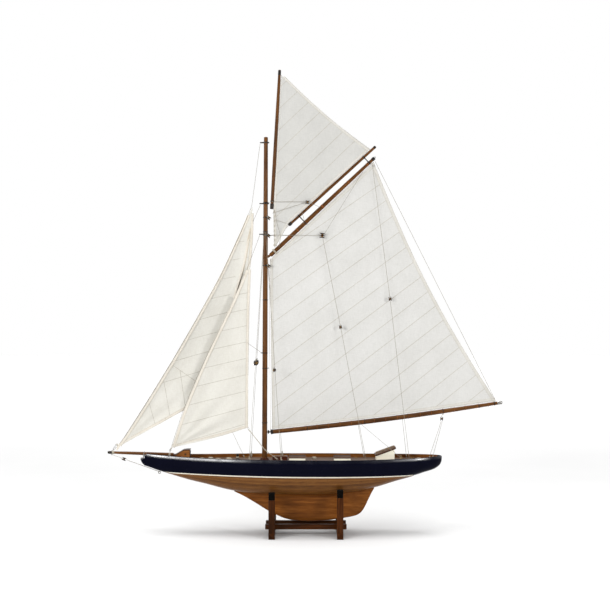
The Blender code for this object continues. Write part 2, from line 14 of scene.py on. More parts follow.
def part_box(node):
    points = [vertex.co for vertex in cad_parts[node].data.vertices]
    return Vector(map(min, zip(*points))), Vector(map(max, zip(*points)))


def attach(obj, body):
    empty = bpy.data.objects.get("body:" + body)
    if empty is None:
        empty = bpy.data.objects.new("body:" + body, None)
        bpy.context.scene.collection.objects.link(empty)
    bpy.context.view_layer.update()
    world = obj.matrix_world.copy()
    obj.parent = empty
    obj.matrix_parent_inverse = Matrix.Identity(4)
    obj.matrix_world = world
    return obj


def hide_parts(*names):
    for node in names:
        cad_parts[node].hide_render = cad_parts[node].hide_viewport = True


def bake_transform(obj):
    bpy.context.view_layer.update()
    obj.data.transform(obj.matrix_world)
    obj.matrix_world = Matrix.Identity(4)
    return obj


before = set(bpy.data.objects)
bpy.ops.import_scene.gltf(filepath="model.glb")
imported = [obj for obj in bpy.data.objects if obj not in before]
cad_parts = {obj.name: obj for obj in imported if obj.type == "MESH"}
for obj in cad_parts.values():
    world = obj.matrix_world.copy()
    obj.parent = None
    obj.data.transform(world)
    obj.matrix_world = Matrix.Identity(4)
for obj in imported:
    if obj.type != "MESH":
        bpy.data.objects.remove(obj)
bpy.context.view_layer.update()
MM = 0.001
THREAD = 0.38
CLOTH = 0.6

# Hull lines, from bow to stern
SHEER = [(-345, 175), (-330, 172.5), (-300, 171), (-240, 168.5), (-200, 167.5), (-100, 166.7),
         (0, 166.2), (100, 166), (200, 167), (294, 169)]
HALF_BEAM = [(-345, 3.2), (-335, 7), (-318, 12.5), (-300, 17.5), (-250, 29.5), (-200, 40),
             (-150, 49), (-100, 56), (-50, 60.5), (0, 62), (50, 62), (100, 59.5), (150, 54),
             (200, 45.5), (240, 36), (262, 28.5), (278, 20.5), (287, 13.5), (292, 7), (294, 2)]
BODY_BOTTOM = [(-345, 148), (-335, 145), (-318, 139), (-300, 133.5), (-247, 118), (-215, 110.5),
               (-161, 97), (-134, 92.5), (-100, 90), (-50, 88.5), (0, 88), (50, 89), (100, 93.5),
               (150, 103), (193.5, 116), (223, 124), (253.5, 134), (276.5, 141), (287, 147.5),
               (292, 154), (294, 161)]
KEEL_BOTTOM = [(-152, 92.5), (-134, 84), (-106, 68), (-80, 52), (-62, 43), (-43, 35), (-20, 30.5),
               (11, 29), (47, 31), (84, 36), (107, 40.5), (117, 45), (124, 52), (131, 64.5),
               (138, 79.5), (144, 91.5), (148.5, 99)]
KEEL_HALF = [(-152, 1.5), (-100, 5), (-40, 8), (40, 8.5), (100, 6), (148.5, 1.5)]
STRIPE_MIDDLE = [(-345, 136.2), (-297, 134.6), (-150, 132.0), (0, 130.7), (225, 130.3), (294, 130.2)]
STRIPE_HEIGHT = 2.3
DECK_DROP = 7.0
WALL = 3.0
TUMBLEHOME = 2.0

# Stand
FRAME_X = (-70.2, 74.0)
POST_INNER, POST_OUTER = 45.0, 58.0
CROSSBAR_Z = (5.0, 15.0)
PAD_INNER = 40.0

# Small distances
DECK_PLANK = 4.6    # width of one deck plank
LACING_ROOM = 0.9   # from a spar's side to the edge of a sail laced to it

# Spars: ends as (x, z), radii from the first end to the last
MAST_FOOT, MAST_HEAD = (-87.27, 98.0), (-84.0, 854.0)
MAST_RADII = (5.6, 5.5, 5.1, 4.3)
BOOM = ((-73.5, 220.2), (418.0, 282.8))
BOOM_RADII = (4.6, 5.2, 5.0, 3.5)
BOOM_SAG = 4.0
GAFF = ((-74.5, 599.5), (149.0, 809.0))
GAFF_RADII = (4.4, 4.5, 4.0, 3.2)
JACKYARD = ((-33.0, 666.0), (152.0, 834.0))
JACKYARD_RADII = (2.8, 3.2, 3.2, 2.7)
TOPSAIL_YARD = ((-71.4, 700.0), (-54.4, 998.5))
TOPSAIL_YARD_RADII = (3.4, 3.9, 3.6, 2.9)
BOWSPRIT = ((-282.0, 171.6), (-415.0, 175.9))
BOWSPRIT_RADII = (3.4, 3.5, 3.3, 2.5)

# Headsail outlines as (x, z)
JIB_LUFF = [(-113, 705), (-124, 678), (-135.5, 651), (-179.5, 556), (-229.5, 467), (-281, 378),
            (-337, 287), (-390, 204), (-402, 188.5)]
JIB_LEECH = [(-113, 705), (-113.5, 660), (-116, 600), (-127, 520), (-157, 415), (-197, 301)]
JIB_FOOT = [(-197, 301), (-258, 268), (-330, 228), (-402, 188.5)]
STAYSAIL_LUFF = [(-118.5, 582), (-128, 556), (-144.5, 518.5), (-160, 485), (-184, 436),
                 (-205, 394), (-233, 332), (-262, 262), (-286.5, 186)]
STAYSAIL_LEECH = [(-118.5, 582), (-121.5, 500), (-122, 400), (-122, 300), (-122, 229.5)]
STAYSAIL_FOOT = [(-122, 229.5), (-170, 214), (-217, 201.5), (-286.5, 186)]
JIB_CLEW_Y = 16.0
JIB_DEPTH = 125.0


# ---------------------------------------------------------------- curves and tables

def smooth_value(table, x):
    """Height of a smooth curve through the table's points, with no overshoot between them."""
    if x <= table[0][0]:
        return table[0][1]
    if x >= table[-1][0]:
        return table[-1][1]
    slopes = [(b[1] - a[1]) / (b[0] - a[0]) for a, b in zip(table, table[1:])]
    tangents = [slopes[0]]
    for before, after in zip(slopes, slopes[1:]):
        tangents.append(0.0 if before * after <= 0 else 2 * before * after / (before + after))
    tangents.append(slopes[-1])
    k = next(i for i in range(len(table) - 1) if x <= table[i + 1][0])
    width = table[k + 1][0] - table[k][0]
    t = (x - table[k][0]) / width
    low, high = table[k][1], table[k + 1][1]
    return ((1 + 2 * t) * (1 - t) ** 2 * low + t * (1 - t) ** 2 * width * tangents[k]
            + t * t * (3 - 2 * t) * high + t * t * (t - 1) * width * tangents[k + 1])


def along(points, t):
    """The point at fraction t of a polyline's length."""
    points = [Vector(p) for p in points]
    lengths = [(b - a).length for a, b in zip(points, points[1:])]
    left = t * sum(lengths)
    for a, b, length in zip(points, points[1:], lengths):
        if left <= length + 1e-9:
            return a.lerp(b, left / length)
        left -= length
    return points[-1]


def rounded_line(points, rounds=2):
    """The polyline with its corners cut, for a smooth run through the same ends."""
    points = [Vector(p) for p in points]
    for _ in range(rounds):
        cut = [points[0]]
        for a, b in zip(points, points[1:]):
            cut += [a.lerp(b, 0.25), a.lerp(b, 0.75)]
        points = cut + [points[-1]]
    return points


def radius_at(radii, t):
    return smooth_value([(i / (len(radii) - 1), r) for i, r in enumerate(radii)], t)


def sheer(x):
    return smooth_value(SHEER, x)


def bottom(x):
    return smooth_value(BODY_BOTTOM, x)


def deck_top(x):
    return sheer(x) - DECK_DROP


def hull_half(x, z):
    """Half the hull's width at a place on its side: a full bilge, and a lean inwards at the rail."""
    t = min(max((z - bottom(x)) / (sheer(x) - bottom(x)), 0.0), 1.0)
    lean = TUMBLEHOME * (max(0.0, z - (sheer(x) - 11.0)) / 11.0) ** 1.6
    return smooth_value(HALF_BEAM, x) * (1 - (1 - t) ** 2.6) ** 0.38 - lean


def mast_x(z):
    t = (z - MAST_FOOT[1]) / (MAST_HEAD[1] - MAST_FOOT[1])
    return MAST_FOOT[0] + t * (MAST_HEAD[0] - MAST_FOOT[0])


def mast_radius(z):
    return radius_at(MAST_RADII, (z - MAST_FOOT[1]) / (MAST_HEAD[1] - MAST_FOOT[1]))


def boom_middle(t):
    (x0, z0), (x1, z1) = BOOM
    return x0 + t * (x1 - x0), z0 + t * (z1 - z0) - BOOM_SAG * math.sin(math.pi * t)


def offset_line(ends, radii, side, t):
    """A point beside a straight spar: side is +1 above it and -1 below it."""
    start, end = Vector(ends[0]), Vector(ends[1])
    run = (end - start).normalized()
    normal = Vector((-run.y, run.x)) * side
    return tuple(start.lerp(end, t) + normal * (radius_at(radii, t) + LACING_ROOM))


def even_steps(start, end, size):
    count = max(2, round(abs(end - start) / size))
    return [start + (end - start) * i / count for i in range(count + 1)]


# ---------------------------------------------------------------- materials

def srgb(red, green, blue):
    """A colour given as 0-255 screen values."""
    channels = [c / 255 for c in (red, green, blue)]
    linear = [c / 12.92 if c <= 0.04045 else ((c + 0.055) / 1.055) ** 2.4 for c in channels]
    return (*linear, 1.0)


def node(tree, kind, inputs, **settings):
    """A new shader node. An input is a number, a colour or another node's output."""
    made = tree.nodes.new("ShaderNode" + kind)
    for name, value in settings.items():
        setattr(made, name, value)
    for socket, value in inputs.items():
        if isinstance(value, bpy.types.NodeSocket):
            tree.links.new(value, made.inputs[socket])
        else:
            made.inputs[socket].default_value = value
    return made


def calc(tree, operation, first, second=0.0, third=0.0):
    return node(tree, "Math", {0: first, 1: second, 2: third}, operation=operation).outputs[0]


def place_on(tree, stretch=(1, 1, 1), source="Object"):
    """Texture coordinates, stretched along the axes with a number below 1."""
    coordinates = tree.nodes.new("ShaderNodeTexCoord").outputs[source]
    return node(tree, "Mapping", {"Vector": coordinates, "Scale": stretch}).outputs[0]


def noise(tree, vector, scale, detail=3.0, roughness=0.5):
    inputs = {"Vector": vector, "Scale": scale, "Detail": detail, "Roughness": roughness}
    return node(tree, "TexNoise", inputs).outputs[0]


def fade(tree, value, low, high, to_low=0.0, to_high=1.0):
    """Maps low..high to to_low..to_high smoothly."""
    inputs = {"Value": value, "From Min": low, "From Max": high, "To Min": to_low,
              "To Max": to_high}
    return node(tree, "MapRange", inputs, interpolation_type="SMOOTHSTEP").outputs[0]


def mixed(tree, share, first, second):
    made = node(tree, "Mix", {0: share, 6: first, 7: second}, data_type="RGBA")
    return made.outputs[2]


def ramp(tree, value, stops):
    made = node(tree, "ValToRGB", {0: value})
    elements = made.color_ramp.elements
    elements[0].position, elements[0].color = stops[0]
    elements[1].position, elements[1].color = stops[-1]
    for position, colour in stops[1:-1]:
        elements.new(position).color = colour
    return made.outputs[0]


def bump(tree, shader, height, depth, strength=1.0):
    """Gives the shader a relief: depth in millimetres."""
    inputs = {"Height": height, "Distance": depth * MM, "Strength": strength}
    tree.links.new(node(tree, "Bump", inputs).outputs[0], shader.inputs["Normal"])


def new_material(name, roughness, specular=0.5, metallic=0.0, sheen=0.0):
    material = bpy.data.materials.new("look_" + name)
    material.use_nodes = True
    tree = material.node_tree
    shader = tree.nodes["Principled BSDF"]
    shader.inputs["Roughness"].default_value = roughness
    shader.inputs["Specular IOR Level"].default_value = specular
    shader.inputs["Metallic"].default_value = metallic
    shader.inputs["Sheen Weight"].default_value = sheen
    return material, tree, shader


def wood(name, tones, grain, roughness=0.42, specular=0.2, size=1.0):
    """Timber with its grain along one axis. The tones run from darkest to lightest."""
    material, tree, shader = new_material(name, roughness, specular)
    squeeze = [0.06 if axis == grain else 1.0 for axis in "XYZ"]
    loose = [0.3 if axis == grain else 1.0 for axis in "XYZ"]
    streaks = noise(tree, place_on(tree, squeeze), 330 * size, 5.0, 0.6)
    pores = noise(tree, place_on(tree, squeeze), 1700 * size, 3.0, 0.6)
    patches = noise(tree, place_on(tree, loose), 30 * size, 2.0)
    value = calc(tree, "MULTIPLY", streaks, 0.5)
    value = calc(tree, "MULTIPLY_ADD", pores, 0.22, value)
    value = calc(tree, "MULTIPLY_ADD", patches, 0.42, value)
    colour = ramp(tree, value, [(0.42, tones[0]), (0.56, tones[1]), (0.7, tones[2])])
    tree.links.new(colour, shader.inputs["Base Color"])
    tree.links.new(fade(tree, streaks, 0.3, 0.7, roughness + 0.08, roughness - 0.08),
                   shader.inputs["Roughness"])
    bump(tree, shader, pores, 0.08, 0.6)
    return material


def planking(name, tones):
    """Varnished strakes: the UV map runs in metres along them and in strakes across them."""
    material, tree, shader = new_material(name, 0.36, 0.15)
    parts = node(tree, "SeparateXYZ", {0: place_on(tree, source="UV")}).outputs
    strake = calc(tree, "FLOOR", parts[1])
    across = calc(tree, "FRACT", parts[1])
    edge = calc(tree, "ABSOLUTE", calc(tree, "SUBTRACT", across, 0.5))
    seam = fade(tree, edge, 0.44, 0.5)
    butt = calc(tree, "FRACT", calc(tree, "MULTIPLY_ADD", strake, 0.383,
                                    calc(tree, "MULTIPLY", parts[0], 5.4)))
    joint = fade(tree, calc(tree, "ABSOLUTE", calc(tree, "SUBTRACT", butt, 0.5)), 0.4965, 0.5)
    lines = calc(tree, "MAXIMUM", seam, joint)
    own = node(tree, "TexWhiteNoise", {"W": strake}, noise_dimensions="1D").outputs[0]
    run = node(tree, "CombineXYZ", {0: calc(tree, "MULTIPLY", parts[0], 18.0),
                                    1: calc(tree, "MULTIPLY", parts[1], 1.4),
                                    2: calc(tree, "MULTIPLY", strake, 3.7)}).outputs[0]
    grain = noise(tree, run, 2.2, 5.0, 0.62)
    fine = noise(tree, place_on(tree, (0.07, 1, 1)), 1500, 3.0, 0.6)
    value = calc(tree, "MULTIPLY_ADD", own, 0.2, calc(tree, "MULTIPLY", grain, 0.62))
    value = calc(tree, "MULTIPLY_ADD", fine, 0.2, value)
    colour = ramp(tree, value, [(0.34, tones[0]), (0.5, tones[1]), (0.68, tones[2])])
    dark = mixed(tree, calc(tree, "MULTIPLY", lines, 0.5), colour, srgb(38, 20, 10))
    tree.links.new(dark, shader.inputs["Base Color"])
    tree.links.new(fade(tree, grain, 0.3, 0.7, 0.42, 0.3), shader.inputs["Roughness"])
    relief = calc(tree, "MULTIPLY_ADD", fine, 0.12, calc(tree, "MULTIPLY", lines, -1.0))
    bump(tree, shader, relief, 0.15, 0.7)
    return material


def deck_planks(name, tones):
    """Straight deck planks with dark caulking between them."""
    material, tree, shader = new_material(name, 0.5, 0.15)
    parts = node(tree, "SeparateXYZ", {0: place_on(tree)}).outputs
    count = calc(tree, "MULTIPLY", parts[1], 1 / (DECK_PLANK * MM))
    plank = calc(tree, "FLOOR", count)
    edge = calc(tree, "ABSOLUTE", calc(tree, "SUBTRACT", calc(tree, "FRACT", count), 0.5))
    seam = fade(tree, edge, 0.43, 0.47)
    own = node(tree, "TexWhiteNoise", {"W": plank}, noise_dimensions="1D").outputs[0]
    butt = calc(tree, "FRACT", calc(tree, "MULTIPLY_ADD", parts[0], 8.0, own))
    joint = fade(tree, calc(tree, "ABSOLUTE", calc(tree, "SUBTRACT", butt, 0.5)), 0.495, 0.5)
    lines = calc(tree, "MAXIMUM", seam, joint)
    grain = noise(tree, place_on(tree, (0.06, 1, 1)), 900, 4.0, 0.6)
    value = calc(tree, "MULTIPLY_ADD", own, 0.35, calc(tree, "MULTIPLY", grain, 0.65))
    colour = ramp(tree, value, [(0.3, tones[0]), (0.5, tones[1]), (0.75, tones[2])])
    tree.links.new(mixed(tree, calc(tree, "MULTIPLY", lines, 0.75), colour, srgb(35, 24, 18)),
                   shader.inputs["Base Color"])
    bump(tree, shader, calc(tree, "MULTIPLY_ADD", lines, -1.0, grain), 0.12, 0.7)
    return material


def paint(name, colour, worn, roughness, specular, polished=None):
    """Brushed paint: faint brush marks, uneven gloss and small rubbed spots.

    A polished value is the gloss where the surface leans a little upward, as near a rail.
    """
    material, tree, shader = new_material(name, roughness, specular)
    brushed = noise(tree, place_on(tree, (0.05, 1, 1)), 700, 3.0, 0.6)
    cloudy = noise(tree, place_on(tree), 45, 3.0)
    spots = fade(tree, noise(tree, place_on(tree), 420, 4.0, 0.7), 0.64, 0.74)
    tone = calc(tree, "MULTIPLY_ADD", cloudy, 0.6, calc(tree, "MULTIPLY", spots, 0.5))
    tree.links.new(mixed(tree, tone, colour, worn), shader.inputs["Base Color"])
    tree.links.new(fade(tree, cloudy, 0.3, 0.7, roughness - 0.05, roughness + 0.08),
                   shader.inputs["Roughness"])
    bump(tree, shader, brushed, 0.05, 0.5)
    if polished is not None:
        facing = node(tree, "NewGeometry", {}).outputs["Normal"]
        lean = node(tree, "SeparateXYZ", {0: facing}).outputs[2]
        gloss = fade(tree, lean, 0.05, 0.27, specular, polished)
        gloss = calc(tree, "MULTIPLY", gloss, fade(tree, lean, 0.35, 0.75, 1.0, 0.1))
        tree.links.new(gloss, shader.inputs["Specular IOR Level"])
    return material


def cloth(name, colour, shade, weave=0.75):
    """Sailcloth: a plain weave with slightly uneven yarns."""
    material, tree, shader = new_material(name, 0.9, 0.15, sheen=0.15)
    yarns = []
    for axis in ("X", "Z"):
        inputs = {"Vector": place_on(tree), "Scale": 0.5 / (weave * MM), "Distortion": 0.6,
                  "Detail": 1.0}
        yarns.append(node(tree, "TexWave", inputs, wave_type="BANDS",
                          bands_direction=axis).outputs[1])
    weave_height = calc(tree, "MAXIMUM", yarns[0], yarns[1])
    slubs = noise(tree, place_on(tree, (0.12, 1, 1)), 900, 2.0)
    cross = noise(tree, place_on(tree, (1, 1, 0.12)), 900, 2.0)
    cloudy = noise(tree, place_on(tree), 16, 3.0)
    tone = calc(tree, "MULTIPLY_ADD", slubs, 0.35, calc(tree, "MULTIPLY", cross, 0.35))
    tone = calc(tree, "MULTIPLY_ADD", cloudy, 0.3, tone)
    tree.links.new(ramp(tree, tone, [(0.36, shade), (0.62, colour)]), shader.inputs["Base Color"])
    bump(tree, shader, calc(tree, "MULTIPLY_ADD", slubs, 0.6, weave_height), 0.05, 0.5)
    return material


def pleat_shade_cloth(name, light, dark, low, high):
    """Cloth with painted shade for the bottom of a pleat: darker towards its low end, where the pleat
    is deepest.
    """
    material, tree, shader = new_material(name, 0.95, 0.05)
    height = node(tree, "SeparateXYZ", {0: place_on(tree)}).outputs[2]
    mottled = noise(tree, place_on(tree), 500, 3.0)
    # painted shade: mostly the dark colour below low and the light one above high, with a little
    # mottling
    depth = calc(tree, "MULTIPLY_ADD", mottled, 0.2, fade(tree, height, low, high, 0.0, 0.9))
    tree.links.new(mixed(tree, depth, dark, light), shader.inputs["Base Color"])
    bump(tree, shader, mottled, 0.1, 0.5)
    return material


def twine(name, colour, shade):
    """Laid thread: the UV map runs in millimetres along it and once round it."""
    material, tree, shader = new_material(name, 0.85, 0.2)
    parts = node(tree, "SeparateXYZ", {0: place_on(tree, source="UV")}).outputs
    lay = calc(tree, "ADD", parts[0], calc(tree, "MULTIPLY", parts[1], 3.0))
    strand = calc(tree, "ABSOLUTE", calc(tree, "SUBTRACT", calc(tree, "FRACT", lay), 0.5))
    fuzz = noise(tree, place_on(tree), 1600, 2.0)
    tone = calc(tree, "MULTIPLY_ADD", fuzz, 0.6, calc(tree, "MULTIPLY", strand, 0.8))
    tree.links.new(ramp(tree, tone, [(0.25, colour), (0.7, shade)]), shader.inputs["Base Color"])
    bump(tree, shader, calc(tree, "MULTIPLY", strand, -1.0), 0.2, 0.8)
    return material


def metal(name, colour, tarnish, roughness=0.32):
    material, tree, shader = new_material(name, roughness, 0.5, metallic=1.0)
    stains = noise(tree, place_on(tree), 380, 4.0, 0.65)
    scratches = noise(tree, place_on(tree, (0.1, 1, 1)), 2600, 2.0)
    tree.links.new(ramp(tree, stains, [(0.42, colour), (0.66, tarnish)]),
                   shader.inputs["Base Color"])
    tree.links.new(fade(tree, stains, 0.35, 0.7, roughness - 0.06, roughness + 0.2),
                   shader.inputs["Roughness"])
    bump(tree, shader, scratches, 0.03, 0.5)
    return material


def felt(name, colour, fluff):
    material, tree, shader = new_material(name, 0.98, 0.03, sheen=0.02)
    fibres = noise(tree, place_on(tree), 1500, 4.0, 0.7)
    clumps = noise(tree, place_on(tree), 260, 3.0)
    tone = calc(tree, "MULTIPLY_ADD", fibres, 0.6, calc(tree, "MULTIPLY", clumps, 0.4))
    tree.links.new(ramp(tree, tone, [(0.4, colour), (0.7, fluff)]), shader.inputs["Base Color"])
    bump(tree, shader, tone, 0.5, 0.8)
    return material


DARK_BROWN = [srgb(28, 11, 1), srgb(52, 24, 4), srgb(76, 39, 11)]
SPAR_BROWN = [srgb(50, 28, 9), srgb(84, 51, 21), srgb(114, 73, 34)]
LOOKS = {
    "navy": paint("navy", srgb(4, 5, 17), srgb(8, 9, 27), 0.2, 0.03, polished=0.7),
    "stripe": paint("stripe", srgb(226, 222, 208), srgb(204, 196, 176), 0.45, 0.2),
    "planks": planking("planks", [srgb(66, 38, 12), srgb(97, 60, 24), srgb(124, 82, 38)]),
    "keel": wood("keel", [srgb(72, 37, 8), srgb(106, 60, 19), srgb(136, 82, 34)], "X", 0.4, 0.08,
                 size=0.55),
    "deck": deck_planks("deck", [srgb(70, 50, 36), srgb(92, 68, 50), srgb(112, 86, 66)]),
    "bulwark": wood("bulwark", [srgb(78, 43, 15), srgb(114, 68, 28), srgb(138, 88, 44)], "X",
                    0.45, 0.08),
    "spar": wood("spar", SPAR_BROWN, "Z", 0.38, 0.12),
    "spar_x": wood("spar_x", SPAR_BROWN, "X", 0.38, 0.12),
    "stand_x": wood("stand_x", DARK_BROWN, "X", 0.4, 0.08, size=0.8),
    "stand_y": wood("stand_y", DARK_BROWN, "Y", 0.4, 0.08, size=0.8),
    "stand_z": wood("stand_z", DARK_BROWN, "Z", 0.4, 0.08, size=0.8),
    "cabin": wood("cabin", [srgb(92, 50, 18), srgb(130, 79, 35), srgb(158, 104, 54)], "X", 0.4,
                  0.1),
    "roof": wood("roof", [srgb(40, 24, 14), srgb(64, 42, 28), srgb(90, 64, 46)], "X", 0.38, 0.1),
    "red_wood": wood("red_wood", [srgb(36, 11, 5), srgb(62, 24, 12), srgb(84, 40, 23)], "X",
                     0.4, 0.1),
    "cream": paint("cream", srgb(250, 247, 230), srgb(240, 234, 210), 0.5, 0.2),
    "inner": wood("inner", [srgb(150, 112, 70), srgb(182, 144, 100), srgb(204, 170, 126)], "X",
                  0.7),
    "sail": cloth("sail", srgb(203, 202, 199), srgb(191, 190, 186)),
    # topsail: the mainsail's cloth painted a little darker, painted shade for the top of the rig
    "topsail": cloth("topsail", srgb(194, 193, 189), srgb(183, 182, 178)),
    "headsail": cloth("headsail", srgb(210, 208, 201), srgb(199, 196, 187)),
    "hem": cloth("hem", srgb(203, 201, 195), srgb(191, 188, 180), 0.6),
    "jib_hem": cloth("jib_hem", srgb(214, 208, 197), srgb(200, 193, 180), 0.6),
    # fold_shade: cloth with painted shade for the shadow in the jib's leech pleat
    "fold_shade": pleat_shade_cloth("fold_shade", srgb(196, 186, 168), srgb(84, 68, 46), 0.53, 0.565),
    "seam": cloth("seam", srgb(184, 180, 170), srgb(160, 154, 142), 0.5),
    "thread": twine("thread", srgb(160, 153, 140), srgb(112, 104, 90)),
    "pale_thread": twine("pale_thread", srgb(200, 194, 178), srgb(154, 144, 125)),
    "orange_thread": twine("orange_thread", srgb(170, 100, 48), srgb(120, 66, 30)),
    "steel": metal("steel", srgb(168, 167, 164), srgb(100, 97, 92)),
    "brass": metal("brass", srgb(186, 146, 82), srgb(112, 82, 44)),
    "iron": metal("iron", srgb(58, 54, 50), srgb(28, 25, 24), 0.42),
    "block": wood("block", [srgb(16, 10, 7), srgb(30, 19, 13), srgb(48, 32, 22)], "Z", 0.4, 0.2),
    "felt": felt("felt", srgb(5, 4, 3), srgb(16, 14, 12)),
}


# ---------------------------------------------------------------- mesh building

def new_shape():
    bm = bmesh.new()
    bm.loops.layers.uv.new("UVMap")
    return bm


def loft(bm, rings, material=0, closed=False, uv=None):
    """Skins rings of points with equal counts. It caps both ends, or joins them when closed."""
    layer = bm.loops.layers.uv.active
    made = [[bm.verts.new(Vector(p) * MM) for p in ring] for ring in rings]
    count = len(rings[0])
    pairs = [(i, i + 1) for i in range(len(rings) - 1)]
    if closed:
        pairs.append((len(rings) - 1, 0))
    for a, b in pairs:
        for i in range(count):
            j = (i + 1) % count
            face = bm.faces.new((made[a][i], made[a][j], made[b][j], made[b][i]))
            face.material_index = material
            if uv:
                corners = ((a, i), (a, i + 1), (b, i + 1), (b, i))
                for loop, (ring, step) in zip(face.loops, corners):
                    loop[layer].uv = uv(ring, step)
    if not closed:
        for ring in (made[0], made[-1]):
            bm.faces.new(ring).material_index = material


def frames_along(points):
    """Each point with two directions across the line, turned as little as possible."""
    points = [Vector(p) for p in points]
    runs = [(points[min(i + 1, len(points) - 1)] - points[max(i - 1, 0)]).normalized()
            for i in range(len(points))]
    side = runs[0].orthogonal().normalized()
    made = []
    for point, run in zip(points, runs):
        side = (side - run * side.dot(run)).normalized()
        made.append((point, side, run.cross(side)))
    return made


def tube(bm, points, radius, sides=6, material=0, radii=None):
    """A round tube through the points. Its UV map runs in millimetres along it."""
    frames = frames_along(points)
    places = [0.0]
    for a, b in zip(frames, frames[1:]):
        places.append(places[-1] + (b[0] - a[0]).length)
    rings = []
    for k, (point, side, up) in enumerate(frames):
        r = radii[k] if radii else radius
        turns = [math.tau * i / sides for i in range(sides)]
        rings.append([point + side * (r * math.cos(a)) + up * (r * math.sin(a)) for a in turns])
    loft(bm, rings, material, uv=lambda ring, step: (places[ring], step / sides))


def turned(bm, profile, base=(0, 0, 0), axis=(0, 0, 1), sides=24, material=0):
    """A turned solid: (radius, height) points run up its axis from a closed start to a closed end."""
    turn = Vector(axis).to_track_quat("Z", "Y")
    base = Vector(base)
    rings = []
    for r, h in profile:
        ring = [Vector((max(r, 0.02) * math.cos(a), max(r, 0.02) * math.sin(a), h))
                for a in (math.tau * i / sides for i in range(sides))]
        rings.append([base + turn @ p for p in ring])
    loft(bm, rings, material)


def hoop(bm, centre, normal, radius, thick, material=0, steps=20, sides=8):
    """A closed round ring of wire."""
    turn = Vector(normal).to_track_quat("Z", "Y")
    rings = []
    for i in range(steps):
        a = math.tau * i / steps
        out = Vector((math.cos(a), math.sin(a), 0))
        ring = []
        for k in range(sides):
            b = math.tau * k / sides
            ring.append(Vector(centre) + turn @ (out * (radius + thick * math.cos(b))
                                                 + Vector((0, 0, thick * math.sin(b)))))
        rings.append(ring)
    loft(bm, rings, material, closed=True,
         uv=lambda ring, step: (ring * math.tau * radius / steps, step / sides))


def whipping(bm, start, end, radius, thick=0.32, material=0):
    """Thread wound tightly round something between two places."""
    start, end = Vector(start), Vector(end)
    run = end - start
    turns = max(2, round(run.length / (thick * 2.05)))
    turn = run.normalized().to_track_quat("Z", "Y")
    points = []
    for i in range(turns * 12 + 1):
        a = math.tau * i / 12
        across = turn @ Vector((math.cos(a), math.sin(a), 0)) * (radius + thick * 0.8)
        points.append(start + run * (i / (turns * 12)) + across)
    tube(bm, points, thick, 5, material)


def slab(bm, low, high, material=0, bevel=0.4, steps=2):
    """A box with rounded edges between two corners."""
    size = Vector(high) - Vector(low)
    made = bmesh.ops.create_cube(bm, size=1.0)["verts"]
    bmesh.ops.scale(bm, vec=size * MM, verts=made)
    bmesh.ops.translate(bm, vec=(Vector(low) + Vector(high)) / 2 * MM, verts=made)
    edges = list({edge for vert in made for edge in vert.link_edges})
    faces = {face for vert in made for face in vert.link_faces}
    if bevel:
        result = bmesh.ops.bevel(bm, geom=edges, offset=bevel * MM, segments=steps, profile=0.5,
                                 affect="EDGES", clamp_overlap=True)
        faces = {f for v in result["verts"] for f in v.link_faces} | set(result["faces"])
    for face in faces:
        if face.is_valid:
            face.material_index = material


def piece(name, bm, looks, body, replaces=(), angle=40, matrix=None, blend=None):
    """Turns the shape into an object that moves with a body of the model, or, given a blend, one
    fixed in place.
    """
    bmesh.ops.recalc_face_normals(bm, faces=bm.faces)
    mesh = bpy.data.meshes.new(name)
    bm.to_mesh(mesh)
    bm.free()
    mesh.shade_smooth()
    mesh.set_sharp_from_angle(angle=math.radians(angle))
    obj = bpy.data.objects.new(name, mesh)
    for look in looks:
        mesh.materials.append(LOOKS[look])
    bpy.context.scene.collection.objects.link(obj)
    if matrix is not None:
        obj.matrix_world = matrix
    if blend:
        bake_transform(obj)
    else:
        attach(obj, body)
    if replaces:
        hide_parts(*replaces)
    return obj


# ---------------------------------------------------------------- hull

def hull_girth(x, heights):
    """Distance round the hull from its middle line to each height."""
    total, before, places = 0.0, Vector((0, heights[0])), []
    for z in heights:
        here = Vector((hull_half(x, z), z))
        total += (here - before).length
        before = here
        places.append(total)
    return places


def trough(x, low, high, wall, steps):
    """A section through a hollow strip of the hull: out on port, round the bottom, in again."""
    heights = [low + s * (high - low) for s in steps]
    outer = [(hull_half(x, z), z) for z in heights]
    inset = min(wall, 0.42 * smooth_value(HALF_BEAM, x), 0.45 * (high - low))
    inner = [(max(y - inset, 0.12 * y), min(max(z, low + inset), high)) for y, z in outer]
    ring = [(x, -y, z) for y, z in reversed(outer)] + [(x, 0, low)]
    ring += [(x, y, z) for y, z in outer] + [(x, y, z) for y, z in reversed(inner)]
    ring += [(x, 0, low + inset)] + [(x, -y, z) for y, z in inner]
    return ring, hull_girth(x, heights)


